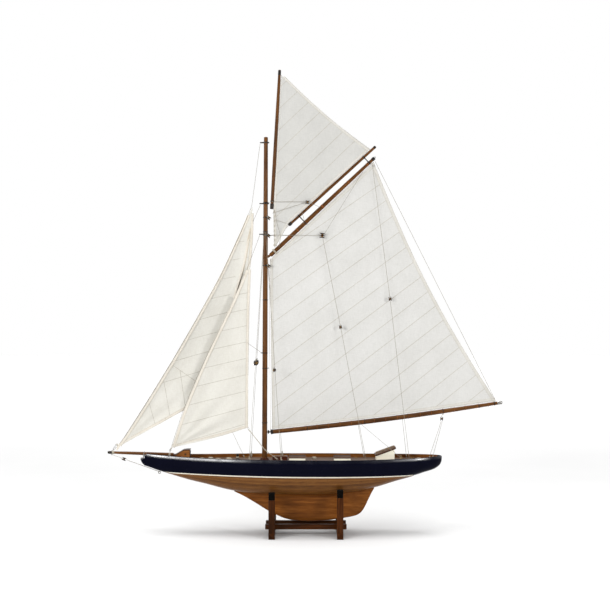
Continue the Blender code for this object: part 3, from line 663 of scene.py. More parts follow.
def make_hull():
    steps = [0.006, 0.02, 0.045, 0.08, 0.13, 0.2, 0.29, 0.4, 0.53, 0.68, 0.84, 1.0]
    strakes, count = 17.0, len(steps)
    edge = [-301.5] + even_steps(-299, 228, 4.0) + [231.5]
    rings, girths, places = [], [], []
    for x in edge:
        low, high = bottom(x), smooth_value(STRIPE_MIDDLE, x)
        if high - low < 0.4:
            continue
        ring, girth = trough(x, low, high, 2.0, steps)
        rings.append(ring)
        girths.append(girth)
        places.append(x * MM)

    def strake_uv(ring, step):
        step = min(step % (4 * count + 2), 2 * count)
        out = abs(step - count) - 1
        share = 0.0 if out < 0 else girths[ring][out] / girths[ring][-1]
        side = 40.0 if step > count else 0.0
        return places[ring], side + share * strakes

    bm = new_shape()
    loft(bm, rings, uv=strake_uv)
    piece("hull_planking", bm, ["planks"], "ship", angle=60)

    bm = new_shape()
    steps = [0.004, 0.03, 0.08, 0.15, 0.25, 0.38, 0.52, 0.66, 0.76, 0.84, 0.9, 0.95, 0.98, 1.0]
    rings = []
    for x in [-345, -344] + even_steps(-342, 288, 3.5) + [289.5, 291, 292.3, 293.2, 294]:
        low = max(bottom(x), smooth_value(STRIPE_MIDDLE, x))
        rings.append(trough(x, low, sheer(x), WALL, steps)[0])
    loft(bm, rings)
    piece("hull_topsides", bm, ["navy"], "ship", ["hull_shell"], 50)

    for side, label in ((-1, "port"), (1, "starboard")):
        bm = new_shape()
        rings = []
        for x in even_steps(-298.5, 229.5, 4.0):
            middle = smooth_value(STRIPE_MIDDLE, x)
            half = STRIPE_HEIGHT / 2
            low, high = hull_half(x, middle - half), hull_half(x, middle + half)
            section = [(low - 0.6, -half), (low + 0.12, -half), (low + 0.3, -half + 0.25),
                       (high + 0.3, half - 0.25), (high + 0.12, half), (high - 0.6, half)]
            rings.append([(x, side * max(y, 0.1), middle + dz) for y, dz in section])
        loft(bm, rings)
        piece(f"hull_stripe_{label}", bm, ["stripe"], "ship")


def make_keel():
    """The deep fin: a rounded sole, gently full sides and a flared root under the hull."""
    bm = new_shape()
    rings = []
    for x in [-152] + even_steps(-149, 146, 3.5) + [148.5]:
        half = smooth_value(KEEL_HALF, x)
        top, low = bottom(x) + 1.0, smooth_value(KEEL_BOTTOM, x)
        side = []
        for s in (0.0, 0.03, 0.08, 0.18, 0.34, 0.52, 0.68, 0.8, 0.88, 0.94, 0.98, 1.0):
            z = low + s * (top - low)
            round_sole = min(1.0, 0.5 + ((z - low) / 3.5) ** 0.6 * 0.5)
            flare = 1.1 * half * math.exp(-(top - z) / 5.0)
            side.append((half * (0.86 + 0.14 * math.sin(math.pi * s)) * round_sole + flare, z))
        rings.append([(x, y, z) for y, z in side] + [(x, -y, z) for y, z in reversed(side)])
    loft(bm, rings)
    piece("keel_fin_shaped", bm, ["keel"], "ship", ["keel_fin"], 50)


def make_rail():
    bm = new_shape()
    stations = [-342, -341] + even_steps(-339, 288, 4.0) + [290, 291.5, 292.8, 293.8]
    side = [(x, smooth_value(HALF_BEAM, x)) for x in stations]
    path = [(x, -half) for x, half in side] + [(x, half) for x, half in reversed(side)]
    rings = []
    for i, (x, y) in enumerate(path):
        before, after = path[max(i - 1, 0)], path[min(i + 1, len(path) - 1)]
        run = Vector((after[0] - before[0], after[1] - before[1])).normalized()
        inward = Vector((-run.y, run.x))
        outer = Vector((x, y)) + inward * (TUMBLEHOME - 0.5)
        inner = Vector((x, y)) + inward * (3.4 if abs(y) > 6 else 1.8)
        ring = []
        for share, height in ((0.0, -0.6), (-0.1, -0.1), (0.02, 0.35), (0.3, 0.62), (0.6, 0.68),
                              (1.0, 0.6), (1.0, -0.6)):
            ring.append((*outer.lerp(inner, share), sheer(x) + height))
        rings.append(ring)
    loft(bm, rings)
    piece("rail_cap_rounded", bm, ["navy"], "ship", ["rail_cap"], 60)


def make_deck():
    bm = new_shape()
    rings = []
    for x in even_steps(-341, 290, 5.0):
        half = max(smooth_value(HALF_BEAM, x) - WALL - 0.05, 0.5)
        top = deck_top(x)
        crown = min(0.9, half * 0.02)
        ring = [(x, -half, top), (x, -half / 2, top + crown * 0.75), (x, 0, top + crown),
                (x, half / 2, top + crown * 0.75), (x, half, top)]
        rings.append(ring + [(x, y, z - 2.2) for _, y, z in reversed(ring)])
    loft(bm, rings)
    piece("deck_laid", bm, ["deck"], "ship", ["deck"], 50)
    bm = new_shape()
    for side in (-1, 1):
        rings = []
        for x in even_steps(-336, 286, 5.0):
            half = smooth_value(HALF_BEAM, x) - min(WALL, 0.42 * smooth_value(HALF_BEAM, x))
            low, high = deck_top(x) - 0.4, sheer(x) + 0.45
            rings.append([(x, side * (half - 0.02), low), (x, side * (half - 1.9), low),
                          (x, side * (half - 1.9), low + 1.5), (x, side * (half - 0.8), low + 1.9),
                          (x, side * (half - 2.2), high), (x, side * (half - 0.6), high)])
        loft(bm, rings)
    piece("bulwark_lining", bm, ["bulwark"], "ship", angle=50)


# ---------------------------------------------------------------- spars

def spar(name, ends, radii, body, replaces, dark_tip=0.0):
    """A tapered round spar in the centre plane with rounded ends."""
    start, end = (Vector((p[0], 0, p[1])) for p in ends)
    length = (end - start).length
    profile = [(0, 0), (radii[0] * 0.75, 0.05), (radii[0] * 0.95, 0.6)]
    profile += [(radius_at(radii, h / length), h) for h in even_steps(1.6, length - 1.6, 14)]
    profile += [(radii[-1] * 0.93, length - 0.7), (radii[-1] * 0.7, length - 0.1), (0, length)]
    bm = new_shape()
    turned(bm, profile, sides=32)
    matrix = (Matrix.Translation(start * MM)
              @ (end - start).to_track_quat("Z", "Y").to_matrix().to_4x4())
    obj = piece(name, bm, ["spar"], body, replaces, matrix=matrix)
    if dark_tip:
        bm = new_shape()
        r = radii[-1]
        turned(bm, [(0, 0), (r + 0.25, 0), (r + 0.3, 0.5), (r + 0.25, dark_tip - 1.2),
                    (r * 0.7, dark_tip - 0.1), (0, dark_tip)],
               end - (end - start).normalized() * (dark_tip + 0.3), end - start)
        piece(name + "_tip", bm, ["iron"], body)
    return obj


def make_spars():
    spar("mast_turned", (MAST_FOOT, MAST_HEAD), MAST_RADII, "ship", ["mast"])
    spar("gaff_turned", GAFF, GAFF_RADII, "main_rig", ["gaff"])
    spar("jackyard_turned", JACKYARD, JACKYARD_RADII, "main_rig", ["jackyard"], 5.0)
    spar("topsail_yard_turned", TOPSAIL_YARD, TOPSAIL_YARD_RADII, "main_rig", ["topsail_yard"],
         11.0)
    spar("bowsprit_turned", BOWSPRIT, BOWSPRIT_RADII, "ship", ["bowsprit"])
    bm = new_shape()
    points, radii = [], []
    for t in [0.0, 0.0008] + even_steps(0.004, 0.996, 0.02) + [0.9992, 1.0]:
        x, z = boom_middle(t)
        points.append((x, 0, z))
        end = 0.75 if t in (0.0, 1.0) else 0.95 if t < 0.002 or t > 0.998 else 1.0
        radii.append(radius_at(BOOM_RADII, t) * end)
    tube(bm, points, 0, 32, radii=radii)
    piece("boom_turned", bm, ["spar_x"], "main_rig", ["boom"])


# ---------------------------------------------------------------- sails

def ease(t):
    t = min(max(t, 0.0), 1.0)
    return t * t * (3 - 2 * t)


class Sail:
    """A sail as a patch between four edges in the XZ plane, with its own belly."""

    def __init__(self, left, right, foot, head, belly):
        self.edges = [[Vector(p) for p in edge] for edge in (left, right, foot, head)]
        self.belly = belly

    def flat(self, u, v):
        """A place on the sail: u runs from luff to leech and v from foot to head."""
        left, right, foot, head = (along(edge, t) if len(edge) > 1 else edge[0]
                                   for edge, t in zip(self.edges, (v, v, u, u)))
        corners = [self.edges[2][0], self.edges[2][-1], self.edges[3][0], self.edges[3][-1]]
        plain = (corners[0] * ((1 - u) * (1 - v)) + corners[1] * (u * (1 - v))
                 + corners[2] * ((1 - u) * v) + corners[3] * (u * v))
        return left * (1 - u) + right * u + foot * (1 - v) + head * v - plain

    def point(self, u, v, lift=0.0):
        place = self.flat(u, v)
        return Vector((place.x, self.belly(u, v, place) + lift, place.y))

    def grid(self, columns, rows):
        return [[(i / columns, j / rows) for i in range(columns + 1)] for j in range(rows + 1)]


def sail_mesh(name, sail, columns, rows, look, body, node_name):
    """The cloth as a closed thin sheet."""
    bm = new_shape()
    sheets = []
    for lift in (-CLOTH / 2, CLOTH / 2):
        sheets.append([[bm.verts.new(sail.point(u, v, lift) * MM) for u, v in row]
                       for row in sail.grid(columns, rows)])
    for sheet in sheets:
        for low, high in zip(sheet, sheet[1:]):
            for i in range(columns):
                bm.faces.new((low[i], low[i + 1], high[i + 1], high[i]))
    front, back = sheets
    rim = [(0, i) for i in range(columns)] + [(j, columns) for j in range(rows)]
    rim += [(rows, i) for i in range(columns, 0, -1)] + [(j, 0) for j in range(rows, 0, -1)]
    for (j0, i0), (j1, i1) in zip(rim, rim[1:] + rim[:1]):
        bm.faces.new((front[j0][i0], front[j1][i1], back[j1][i1], back[j0][i0]))
    bmesh.ops.remove_doubles(bm, verts=bm.verts, dist=0.00002)
    return piece(name, bm, [look], body, [node_name], 80)


def ribbon(bm, sail, places, width, raise_by, material=0, shift=0.0):
    """A band sewn on both faces of a sail, beside or along a run of (u, v) places."""
    flats = [sail.flat(u, v) for u, v in places]
    for face in (-1, 1):
        rings = []
        for k, (u, v) in enumerate(places):
            before, after = flats[max(k - 1, 0)], flats[min(k + 1, len(flats) - 1)]
            run = (after - before).normalized()
            across = Vector((-run.y, 0, run.x)) * (width / 2)
            middle = sail.point(u, v) + Vector((-run.y, 0, run.x)) * shift
            out = Vector((0, face, 0))
            low, high = CLOTH / 2 - 0.1, CLOTH / 2 + raise_by
            rings.append([middle - across + out * low, middle - across * 0.85 + out * high,
                          middle + across * 0.85 + out * high, middle + across + out * low])
        loft(bm, rings, material)


def hem(bm, sail, places, width):
    """A folded edge band: material 0 is the cloth and material 1 its two rows of stitches."""
    ribbon(bm, sail, places, width, 0.25)
    for side in (-1, 1):
        ribbon(bm, sail, places, 0.5, 0.32, 1, side * (width / 2 - 0.7))


def edge_run(edge, start=0.0, end=1.0, inset=0.012):
    """(u, v) places along one edge of a sail, a little inside it."""
    made = []
    for t in even_steps(start, end, 1 / 60):
        made.append({"luff": (inset, t), "leech": (1 - inset, t), "foot": (t, inset),
                     "head": (t, 1 - inset)}[edge])
    return made


def slanted_seams(sail, anchors, slope):
    """Seams in straight lines through anchor points on the leech, as (u, v) runs on the sail."""
    runs = []
    samples = [[(u / 60, v / 60) for v in range(61)] for u in range(61)]
    for anchor, rise in zip(anchors, slope):
        run = []
        for column in samples:
            heights = []
            for u, v in column:
                place = sail.flat(u, v)
                heights.append(place.y - (anchor.y + rise * (place.x - anchor.x)))
            for k in range(60):
                if heights[k] <= 0 < heights[k + 1]:
                    share = -heights[k] / (heights[k + 1] - heights[k])
                    run.append((column[k][0], (k + share) / 60))
                    break
        if len(run) > 2:
            runs.append(run)
    return runs


def make_mainsail():
    head = [(-74.0, 591.0)] + [offset_line(GAFF, GAFF_RADII, -1, t)
                               for t in (0.04, 0.35, 0.67, 0.975)]
    foot = []
    for i in range(13):
        t = 0.005 + i / 12 * 0.98
        x, z = boom_middle(t)
        foot.append((x, z + radius_at(BOOM_RADII, t) + 1.2))
    peak, clew = Vector(head[-1]), Vector(foot[-1])
    run = (clew - peak).normalized()
    hollow = Vector((run.y, -run.x)) * 17.0
    leech = [clew.lerp(peak, i / 24) + hollow * math.sin(math.pi * i / 24) for i in range(25)]
    luff = [Vector(foot[0]).lerp(Vector(head[0]), i / 12) for i in range(13)]

    def belly(u, v, place):
        full = -7.0 * math.sin(math.pi * u ** 0.8) * math.sin(math.pi * min(v + 0.12, 1.0) ** 0.9)
        creases = 0.5 * math.sin(place.x * 0.09 + place.y * 0.05) * math.sin(math.pi * u)
        return full + creases * math.sin(math.pi * v)

    sail = Sail(luff, leech, foot, head, belly)
    cloth_piece = sail_mesh("mainsail_cloth", sail, 96, 96, "sail", "main_rig",
                            "mainsail")
    bm = new_shape()
    for edge, width in (("luff", 6.0), ("leech", 7.0), ("foot", 6.0), ("head", 6.0)):
        inset = {"luff": 0.008, "leech": 0.0085, "foot": 0.009, "head": 0.013}[edge]
        hem(bm, sail, edge_run(edge, inset=inset), width)
    hems = piece("mainsail_hems", bm, ["hem", "seam"], "main_rig", angle=30)
    anchors = [Vector((172.0, 760.0 - 44.0 * i)) for i in range(16)]
    slopes = [min(0.69 + 0.009 * i, 0.79) for i in range(16)]
    bm = new_shape()
    for run in slanted_seams(sail, anchors, slopes):
        ribbon(bm, sail, run, 1.1, 0.12)
    seams = piece("mainsail_seams", bm, ["seam"], "main_rig", angle=30)


def make_topsail():
    head = offset_line(TOPSAIL_YARD, TOPSAIL_YARD_RADII, -1, 0.965)
    luff = [(-66.0, 615.5)] + [offset_line(TOPSAIL_YARD, TOPSAIL_YARD_RADII, -1, t)
                               for t in (0.0, 0.5)] + [head]
    foot = [(-66.0, 615.5)] + [offset_line(JACKYARD, JACKYARD_RADII, 1, t)
                               for t in (0.0, 0.35, 0.65, 0.95)]
    top, clew = Vector(head), Vector(foot[-1])
    run = (clew - top).normalized()
    hollow = Vector((run.y, -run.x)) * 5.0
    leech = [clew.lerp(top, i / 24) + hollow * math.sin(math.pi * i / 24) for i in range(25)]

    def belly(u, v, place):
        return -3.5 * math.sin(math.pi * u) * math.sin(math.pi * v) \
            + 0.4 * math.sin(place.x * 0.12 - place.y * 0.06) * math.sin(math.pi * v)

    sail = Sail(luff, leech, foot, [head], belly)
    cloth_piece = sail_mesh("topsail_cloth", sail, 60, 84, "topsail", "main_rig",
                            "topsail")
    bm = new_shape()
    for edge, width, inset in (("luff", 6.0, 0.016), ("leech", 6.0, 0.016), ("foot", 6.0, 0.011)):
        hem(bm, sail, edge_run(edge, 0.0, 0.97, inset), width)
    hems = piece("topsail_hems", bm, ["hem", "seam"], "main_rig", angle=30)
    anchors = [Vector((-28.0, 985.5 - 45.0 * i)) for i in range(9)]
    bm = new_shape()
    for run in slanted_seams(sail, anchors, [0.93 + 0.006 * i for i in range(9)]):
        ribbon(bm, sail, run, 1.1, 0.12)
    seams = piece("topsail_seams", bm, ["seam"], "main_rig", angle=30)


def headsail(name, luff, leech, foot, clew_y, belly, seams, node_name):
    tack, head = Vector(luff[-1]), Vector(luff[0])
    run = (head - tack).normalized()

    def surface(u, v, place):
        offset = place - tack
        away = offset.x * run.y - offset.y * run.x
        return clew_y * away / JIB_DEPTH + belly(u, v, place)

    sail = Sail(rounded_line(reversed(luff)), rounded_line(reversed(leech)),
                rounded_line(reversed(foot)), [head], surface)
    cloth_piece = sail_mesh(name + "_cloth", sail, 56, 100, "headsail", "ship",
                            node_name)
    bm = new_shape()
    for edge, width, inset in (("luff", 6.5, 0.022), ("leech", 6.0, 0.022), ("foot", 6.0, 0.01)):
        hem(bm, sail, edge_run(edge, 0.0, 0.965, inset), width)
    hems = piece(name + "_hems", bm, ["jib_hem", "seam"], "ship", angle=30)
    bm = new_shape()
    for places in seams(sail):
        ribbon(bm, sail, places, 1.0, 0.12)
    sewn = piece(name + "_seams", bm, ["seam"], "ship", angle=30)
    return sail


def make_headsails():
    def jib_belly(u, v, place):
        full = 9.0 * math.sin(math.pi * u) * math.sin(math.pi * min(v * 1.1, 1.0))
        fan = math.atan2(place.y - 188.5, place.x + 402.0)
        pull = 1.6 * math.sin(fan * 22.0) * math.sin(math.pi * u) * (1 - v)
        return full + pull

    def jib_seams(sail):
        anchors = [Vector((-148.0, 628.0 - 36.4 * i)) for i in range(8)] + [Vector((-289.6, 366.1))]
        slopes = [0.16, 0.18, 0.2, 0.22, 0.26, 0.27, 0.28, 0.3, -0.71]
        runs = slanted_seams(sail, anchors, slopes)
        for top, low in (((-337, 287), (-322, 232)), ((-306, 340), (-291, 249)),
                         ((-270, 352), (-258, 268)), ((-236, 328), (-222, 286))):
            runs.append(upright_seam(sail, Vector(top), Vector(low)))
        return runs

    def staysail_belly(u, v, place):
        full = 7.0 * math.sin(math.pi * u) * math.sin(math.pi * min(v * 1.1, 1.0))
        fan = math.atan2(place.y - 186.0, place.x + 286.5)
        return full + 1.4 * math.sin(fan * 20.0) * math.sin(math.pi * u) * (1 - v)

    def staysail_seams(sail):
        anchors = [Vector((-133.0, 517.5 - 35.2 * i)) for i in range(9)]
        slopes = [0.18, 0.2, 0.21, 0.215, 0.23, 0.235, 0.245, 0.27, 0.3]
        return slanted_seams(sail, anchors, slopes)

    jib = headsail("jib", JIB_LUFF, JIB_LEECH, JIB_FOOT, JIB_CLEW_Y, jib_belly,
                   jib_seams, "jib")
    make_jib_fold(jib)
    headsail("staysail", STAYSAIL_LUFF, STAYSAIL_LEECH, STAYSAIL_FOOT, 0.0,
             staysail_belly, staysail_seams, "staysail")


def place_of(sail, target, start=None):
    """The (u, v) of a place on the flat sail, found by small steps from a start near it."""
    if start is None:
        grid = [(u / 30, v / 40) for u in range(1, 30) for v in range(1, 40)]
        start = min(grid, key=lambda place: (sail.flat(*place) - target).length_squared)
    u, v = start
    for _ in range(10):
        here = sail.flat(u, v)
        across = (sail.flat(u + 0.001, v) - here) / 0.001
        up = (sail.flat(u, v + 0.001) - here) / 0.001
        miss = target - here
        det = across.x * up.y - across.y * up.x
        u += (miss.x * up.y - miss.y * up.x) / det
        v += (across.x * miss.y - across.y * miss.x) / det
    return min(max(u, 0.0), 1.0), min(max(v, 0.0), 1.0)


def upright_seam(sail, top, low):
    """A seam straight between two places on the sail."""
    run = [place_of(sail, top)]
    for i in range(1, 13):
        run.append(place_of(sail, top.lerp(low, i / 12), run[-1]))
    return run


def make_jib_fold(sail):
    """The pleat along the jib's tight leech: a hemmed flap over a thin strip with painted shade."""
    edge = rounded_line([(-117, 658), (-121, 632), (-127, 597), (-134, 566), (-142.5, 540),
                         (-152, 508)])
    flap = [(-13, 0.2), (-9, -1.2), (-6, -3.2), (-3.4, -5.2), (-3.4, -4.6), (-6, -2.6), (-9, -0.7),
            (-13, 0.4)]
    rolled = [(-3.9, -4.6), (-3.7, -5.7), (-1.8, -7.2), (-0.2, -7.5), (0.3, -6.9), (-0.2, -6.2),
              (-1.8, -5.8)]
    # A thin strip on the jib under the flap's edge: it carries the painted shade of the pleat.
    shade_strip = [(-4.5, -0.35), (-4.2, -0.55), (1.2, -0.6), (1.7, -0.4), (1.7, -0.3), (-4.5, -0.3)]
    rings = [[], [], []]
    found = None
    for t in even_steps(0.0, 1.0, 0.04):
        here = along(edge, t)
        run = (along(edge, min(t + 0.02, 1.0)) - along(edge, max(t - 0.02, 0.0))).normalized()
        right = Vector((-run.y, run.x))
        rise = (0.12 + 0.4 * ease((t - 0.5) / 0.3)) * ease(t / 0.3) + 0.02
        for k, section in enumerate((flap, rolled, shade_strip)):
            ring = []
            for s, dy in section:
                spread = 0.35 + 0.65 * ease(t / 0.25)
                target = here + right * (s * spread)
                found = place_of(sail, target, found)
                lift = dy * rise if k < 2 else dy
                ring.append((target.x, sail.point(*found).y - 0.3 + lift, target.y))
            rings[k].append(ring)
    bm = new_shape()
    for k, look in enumerate((0, 1, 2)):
        loft(bm, rings[k], look)
    piece("jib_leech_fold", bm, ["headsail", "jib_hem", "fold_shade"], "ship",
          angle=50)


# ---------------------------------------------------------------- rigging

def spin(place, direction):
    """A matrix that stands a shape's Z axis along a direction, at a place in millimetres."""
    turn = Vector(direction).to_track_quat("Z", "Y").to_matrix().to_4x4()
    return Matrix.Translation(Vector(place) * MM) @ turn


def block_shape(bm, size, double=False):
    """A wooden block: rounded cheeks, brass sheaves on a pin, and a wire strop with an eye."""
    gaps = (-0.32, 0.32) if double else (0.0,)
    cheeks = (-0.62, 0.0, 0.62) if double else (-0.38, 0.38)
    for middle in cheeks:
        rings = []
        for share, grow in ((-1.0, 0.8), (-0.8, 0.95), (0.0, 1.0), (0.8, 0.95), (1.0, 0.8)):
            y = (middle + share * 0.16) * size
            rings.append([(0.56 * size * grow * math.cos(a), y, 0.8 * size * grow * math.sin(a))
                          for a in (math.tau * i / 20 for i in range(20))])
        loft(bm, rings, 0)
    for middle in gaps:
        y = middle * size
        turned(bm, [(0, -0.14 * size), (0.46 * size, -0.14 * size), (0.34 * size, 0),
                    (0.46 * size, 0.14 * size), (0, 0.14 * size)], (0, y, 0), (0, 1, 0), 16, 1)
    reach = max(cheeks) + 0.22
    turned(bm, [(0, -reach * size), (0.14 * size, -reach * size), (0.14 * size, reach * size),
                (0, reach * size)], (0, 0, 0), (0, 1, 0), 10, 1)
    for y in (cheeks[0] - 0.2, cheeks[-1] + 0.2):
        path = [(0.2 * size * math.cos(a), y * size, 0.92 * size * math.sin(a))
                for a in (math.pi * i / 10 - math.pi / 2 for i in range(11))]
        tube(bm, path, 0.09 * size, 6, 2)
    hoop(bm, (0, 0, 1.12 * size), (0, 1, 0), 0.26 * size, 0.1 * size, 2, 14, 6)
    whipping(bm, (0, 0, 0.78 * size), (0, 0, 0.96 * size), 0.12 * size, 0.07 * size, 3)


def make_block(name, place, direction, size, body, blend=None, replaces=(), double=False):
    bm = new_shape()
    block_shape(bm, size, double)
    return piece(name, bm, ["block", "brass", "steel", "pale_thread"], body,
                 replaces, matrix=spin(place, direction), blend=blend)


def line(name, points, body="ship", look="thread", radius=THREAD, blend=None, replaces=(),
         soft=True):
    """A run of laid thread. A long straight stretch gets points all along it."""
    points = [Vector(p) for p in points]
    fine = [points[0]]
    for a, b in zip(points, points[1:]):
        count = max(1, round((b - a).length / 14))
        fine += [a.lerp(b, i / count) for i in range(1, count + 1)]
    bm = new_shape()
    tube(bm, rounded_line(fine, 1) if soft else fine, radius, 6)
    return piece(name, bm, [look], body, replaces, blend=blend)


def deck_eye(bm, place, toward):
    """An eye bolt on the deck with the line's end knotted to it: metal 0, thread 1."""
    place, toward = Vector(place), Vector(toward)
    turned(bm, [(0, 0), (1.6, 0), (1.5, 0.5), (0.5, 0.8), (0.5, 1.8), (0, 1.9)], place, sides=14)
    hoop(bm, place + Vector((0, 0, 2.9)), (0, 1, 0), 1.1, 0.32, 0, 16, 6)
    run = (toward - place).normalized()
    foot = place + Vector((0, 0, 3.9))
    whipping(bm, foot, foot + run * 3.6, 0.45, 0.3, 1)
    for lean in (-0.5, 0.5):
        tail = [foot + run * 3.4, foot + run * 4.2 + Vector((lean, 0, 0)),
                foot + run * 4.0 + Vector((lean * 3.4, lean, -1.0))]
        tube(bm, rounded_line(tail), 0.22, 5, 1)


def lanyard(bm, place, toward, length):
    """A thick bundle of turns above a shroud's eye, with a small hank hung from it."""
    foot = Vector(place) + Vector((0, 0, 4.2))
    run = (Vector(toward) - foot).normalized()
    whipping(bm, foot, foot + run * length, 0.75, 0.42, 1)
    hank = [foot + run * (length * 0.8), foot + run * (length * 0.5) + Vector((2.2, -0.6, 0)),
            foot + Vector((2.0, -0.8, -2.0)), foot + Vector((0.6, -0.8, -2.6)),
            foot + run * (length * 0.4) + Vector((-0.8, -0.6, 0))]
    tube(bm, rounded_line(hank), 0.42, 6, 1)


def mast_eye(bm, z, sides):
    """A thin band round the mast with a small eye on each named side."""
    x, r = mast_x(z), mast_radius(z)
    turned(bm, [(r - 0.3, -0.9), (r + 0.5, -0.9), (r + 0.55, 0), (r + 0.5, 0.9),
                (r - 0.3, 0.9)], (x, 0, z), sides=28)
    for dx, dy in sides:
        out = Vector((dx, dy, 0)).normalized()
        hoop(bm, Vector((x, 0, z)) + out * (r + 1.8), out.cross(Vector((0, 0, 1))), 1.2,
             0.36, 0, 14, 6)


def mirrored(points, side):
    return [(x, y * side, z) for x, y, z in points]


def make_rigging():
    band = {z: mast_x(z) - 12.5 for z in (842.0, 645.0)}
    stay = [(band[842.0], 0, 839.5)] + [(x - 1.6, 0, z) for x, z in JIB_LUFF]
    line("jib_stay_line", stay + [(-413.5, 0, 179.4)], replaces=["jib_stay"])
    stay = [(band[645.0], 0, 642.8)] + [(x - 1.6, 0, z) for x, z in STAYSAIL_LUFF]
    line("staysail_stay_line", stay + [(-290.5, 0, 177.2)], replaces=["staysail_stay"])
    line("bobstay_pendant_line", [(-415.5, 0, 171.6), (-394.2, 0, 163.9)],
         replaces=["bobstay_pendant"])
    line("bobstay_line", [(-383.8, -0.8, 160.2), (-312.5, -1.4, 134.6)], replaces=["bobstay"])
    line("bobstay_line_far", [(-383.8, 0.8, 160.2), (-312.5, 1.4, 134.6)])
    line("jib_sheet_line", [(-195, JIB_CLEW_Y + 1.5, 297), (-132, 22, 164)],
         replaces=["jib_sheet"])
    line("staysail_sheet_line", [(-121, -1.6, 226), (-85, -13.5, 183), (-60, -17, 164.5)],
         replaces=["staysail_sheet"], look="pale_thread", radius=0.5)
    line("staysail_sheet_tail", [(-120.4, -2.8, 224.5), (-84, -15.5, 181), (-57, -19, 164)],
         look="pale_thread", radius=0.42)
    line("topping_lift_line", [(150, -4.2, 802), (408, -4.6, 290)], "main_rig",
         replaces=["topping_lift"], soft=False)
    line("peak_halyard_line", [(-72, -5.6, 714.5), (0.6, -7, 714.2), (0.6, -7, 712.4),
                               (-70, -5.6, 690)], "main_rig", replaces=["peak_halyard"],
         soft=False)
    line("peak_span", [(7.5, -7, 713), (30, -5.2, 704)], "main_rig", soft=False)
    line("gaff_span", [(124, -4.8, 779), (42, -8.2, 646)], "main_rig", soft=False)
    line("jackyard_tail", [(-8, -4.6, 695), (-2, -5.5, 679), (-3, -5.2, 668)], "main_rig")
    line("jackyard_tack", [(-64, -4.5, 676), (-40, -5.0, 668)], "main_rig")
    line("topsail_tack", [(-66, -4.5, 700), (-60, -4.8, 668), (-52, -4.8, 640),
                          (-56, -5.0, 617)], "main_rig")
    line("jib_halyard", [(-96, -0.6, 708), (-111.6, 0, 672.7)])
    line("staysail_lead", [(-123.8, -0.8, 411.5), (-93, 0, 390)])
    line("luff_line", [(-76, -8.2, 578), (-75.5, -8.0, 400), (-74, -8.0, 222)], radius=0.32)
    guy = [(212, -37, 162), (118, -4.6, 239)]
    line("boom_guy", guy, "main_rig", blend=guy, soft=False)
    main_blend = ((271, 0, 166), (294, 0, 243))
    sheet = [(266, -10, 166), (292.8, 0, 242.8), (295.2, 0, 242.8), (276, 10, 166)]
    line("mainsheet_line", sheet, "main_rig", blend=main_blend, replaces=["mainsheet"],
         soft=False)
    make_block("mainsheet_block_turned", (294, 0, 248.4), (0.05, 0, 1), 4.6, "main_rig",
               replaces=["mainsheet_block"])
    make_block("bobstay_block_turned", (-389, 0, 162), (-0.94, 0, 0.34), 4.9, "ship",
               replaces=["bobstay_block"])
    make_block("gaff_block_turned", (5, -7, 713.4), (-1, 0, 0.06), 5.3, "main_rig",
               replaces=["gaff_block"])
    for side, label in ((-1, "port"), (1, "starboard")):
        shroud = mirrored([(-118, 47, 164), (-87.5, 8, 650), (-84.5, 8, 650), (-50, 54, 164)],
                          side)
        line(f"shroud_{label}_line", shroud, replaces=[f"shroud_{label}"], soft=False)
        lift = mirrored([(-73, 6.4, 643), (37, 8.5, 642), (76, 18, 446), (129, 50, 164)], side)
        blend = (lift[3], lift[1])
        line(f"lift_{label}_line", lift, "main_rig", blend=blend,
             replaces=[f"lift_{label}"], soft=False)
        vang = mirrored([(144, 5.5, 797), (182, 13, 506), (221, 36, 165)], side)
        bend = (vang[2], Vector(vang[2]).lerp(Vector(vang[1]), 0.45))
        line(f"vang_{label}_line", vang, "main_rig", blend=bend,
             replaces=[f"vang_{label}"], soft=False)
        up = Vector(lift[1]) - Vector(lift[2])
        make_block(f"lift_block_{label}", lift[2], up, 4.6, "main_rig", blend=blend)
        make_block(f"lift_double_block_{label}", lift[1], (-1, 0, 0.1), 6.2, "main_rig",
                   blend=blend, double=True)
        up = Vector(vang[0]) - Vector(vang[1])
        make_block(f"vang_block_{label}", vang[1], up, 4.8, "main_rig", blend=bend)
        fore, aft = Vector(shroud[0]), Vector(shroud[3])
        top = Vector(shroud[1])
        make_block(f"fore_shroud_block_{label}", top.lerp(fore, 0.578), top - fore, 5.6, "ship",
                   double=True)
        make_block(f"aft_shroud_block_{label}", top.lerp(aft, 0.607), top - aft, 4.6, "ship")
        bm = new_shape()
        bases = [(shroud[0], shroud[1]), (shroud[3], shroud[2]), (lift[3], lift[2]),
                 (vang[2], vang[1])]
        for (x, y, z), toward in bases:
            deck_eye(bm, (x, y - side * 1.5, deck_top(x) - 0.2), toward)
        for (x, y, z), toward in bases[:2]:
            lanyard(bm, (x, y - side * 1.5, deck_top(x) - 0.2), toward, 9.0)
        piece(f"deck_eyes_{label}", bm, ["steel", "pale_thread"], "ship")
    bm = new_shape()
    for place, toward in (((266, -10, 0), (292, 0, 243)), ((276, 10, 0), (295, 0, 243)),
                          ((-132, 22, 0), (-195, 17, 297)), ((-60, -17, 0), (-85, -13, 183))):
        deck_eye(bm, (place[0], place[1], deck_top(place[0]) + 0.2), toward)
    piece("deck_eyes_middle", bm, ["steel", "pale_thread"], "ship")


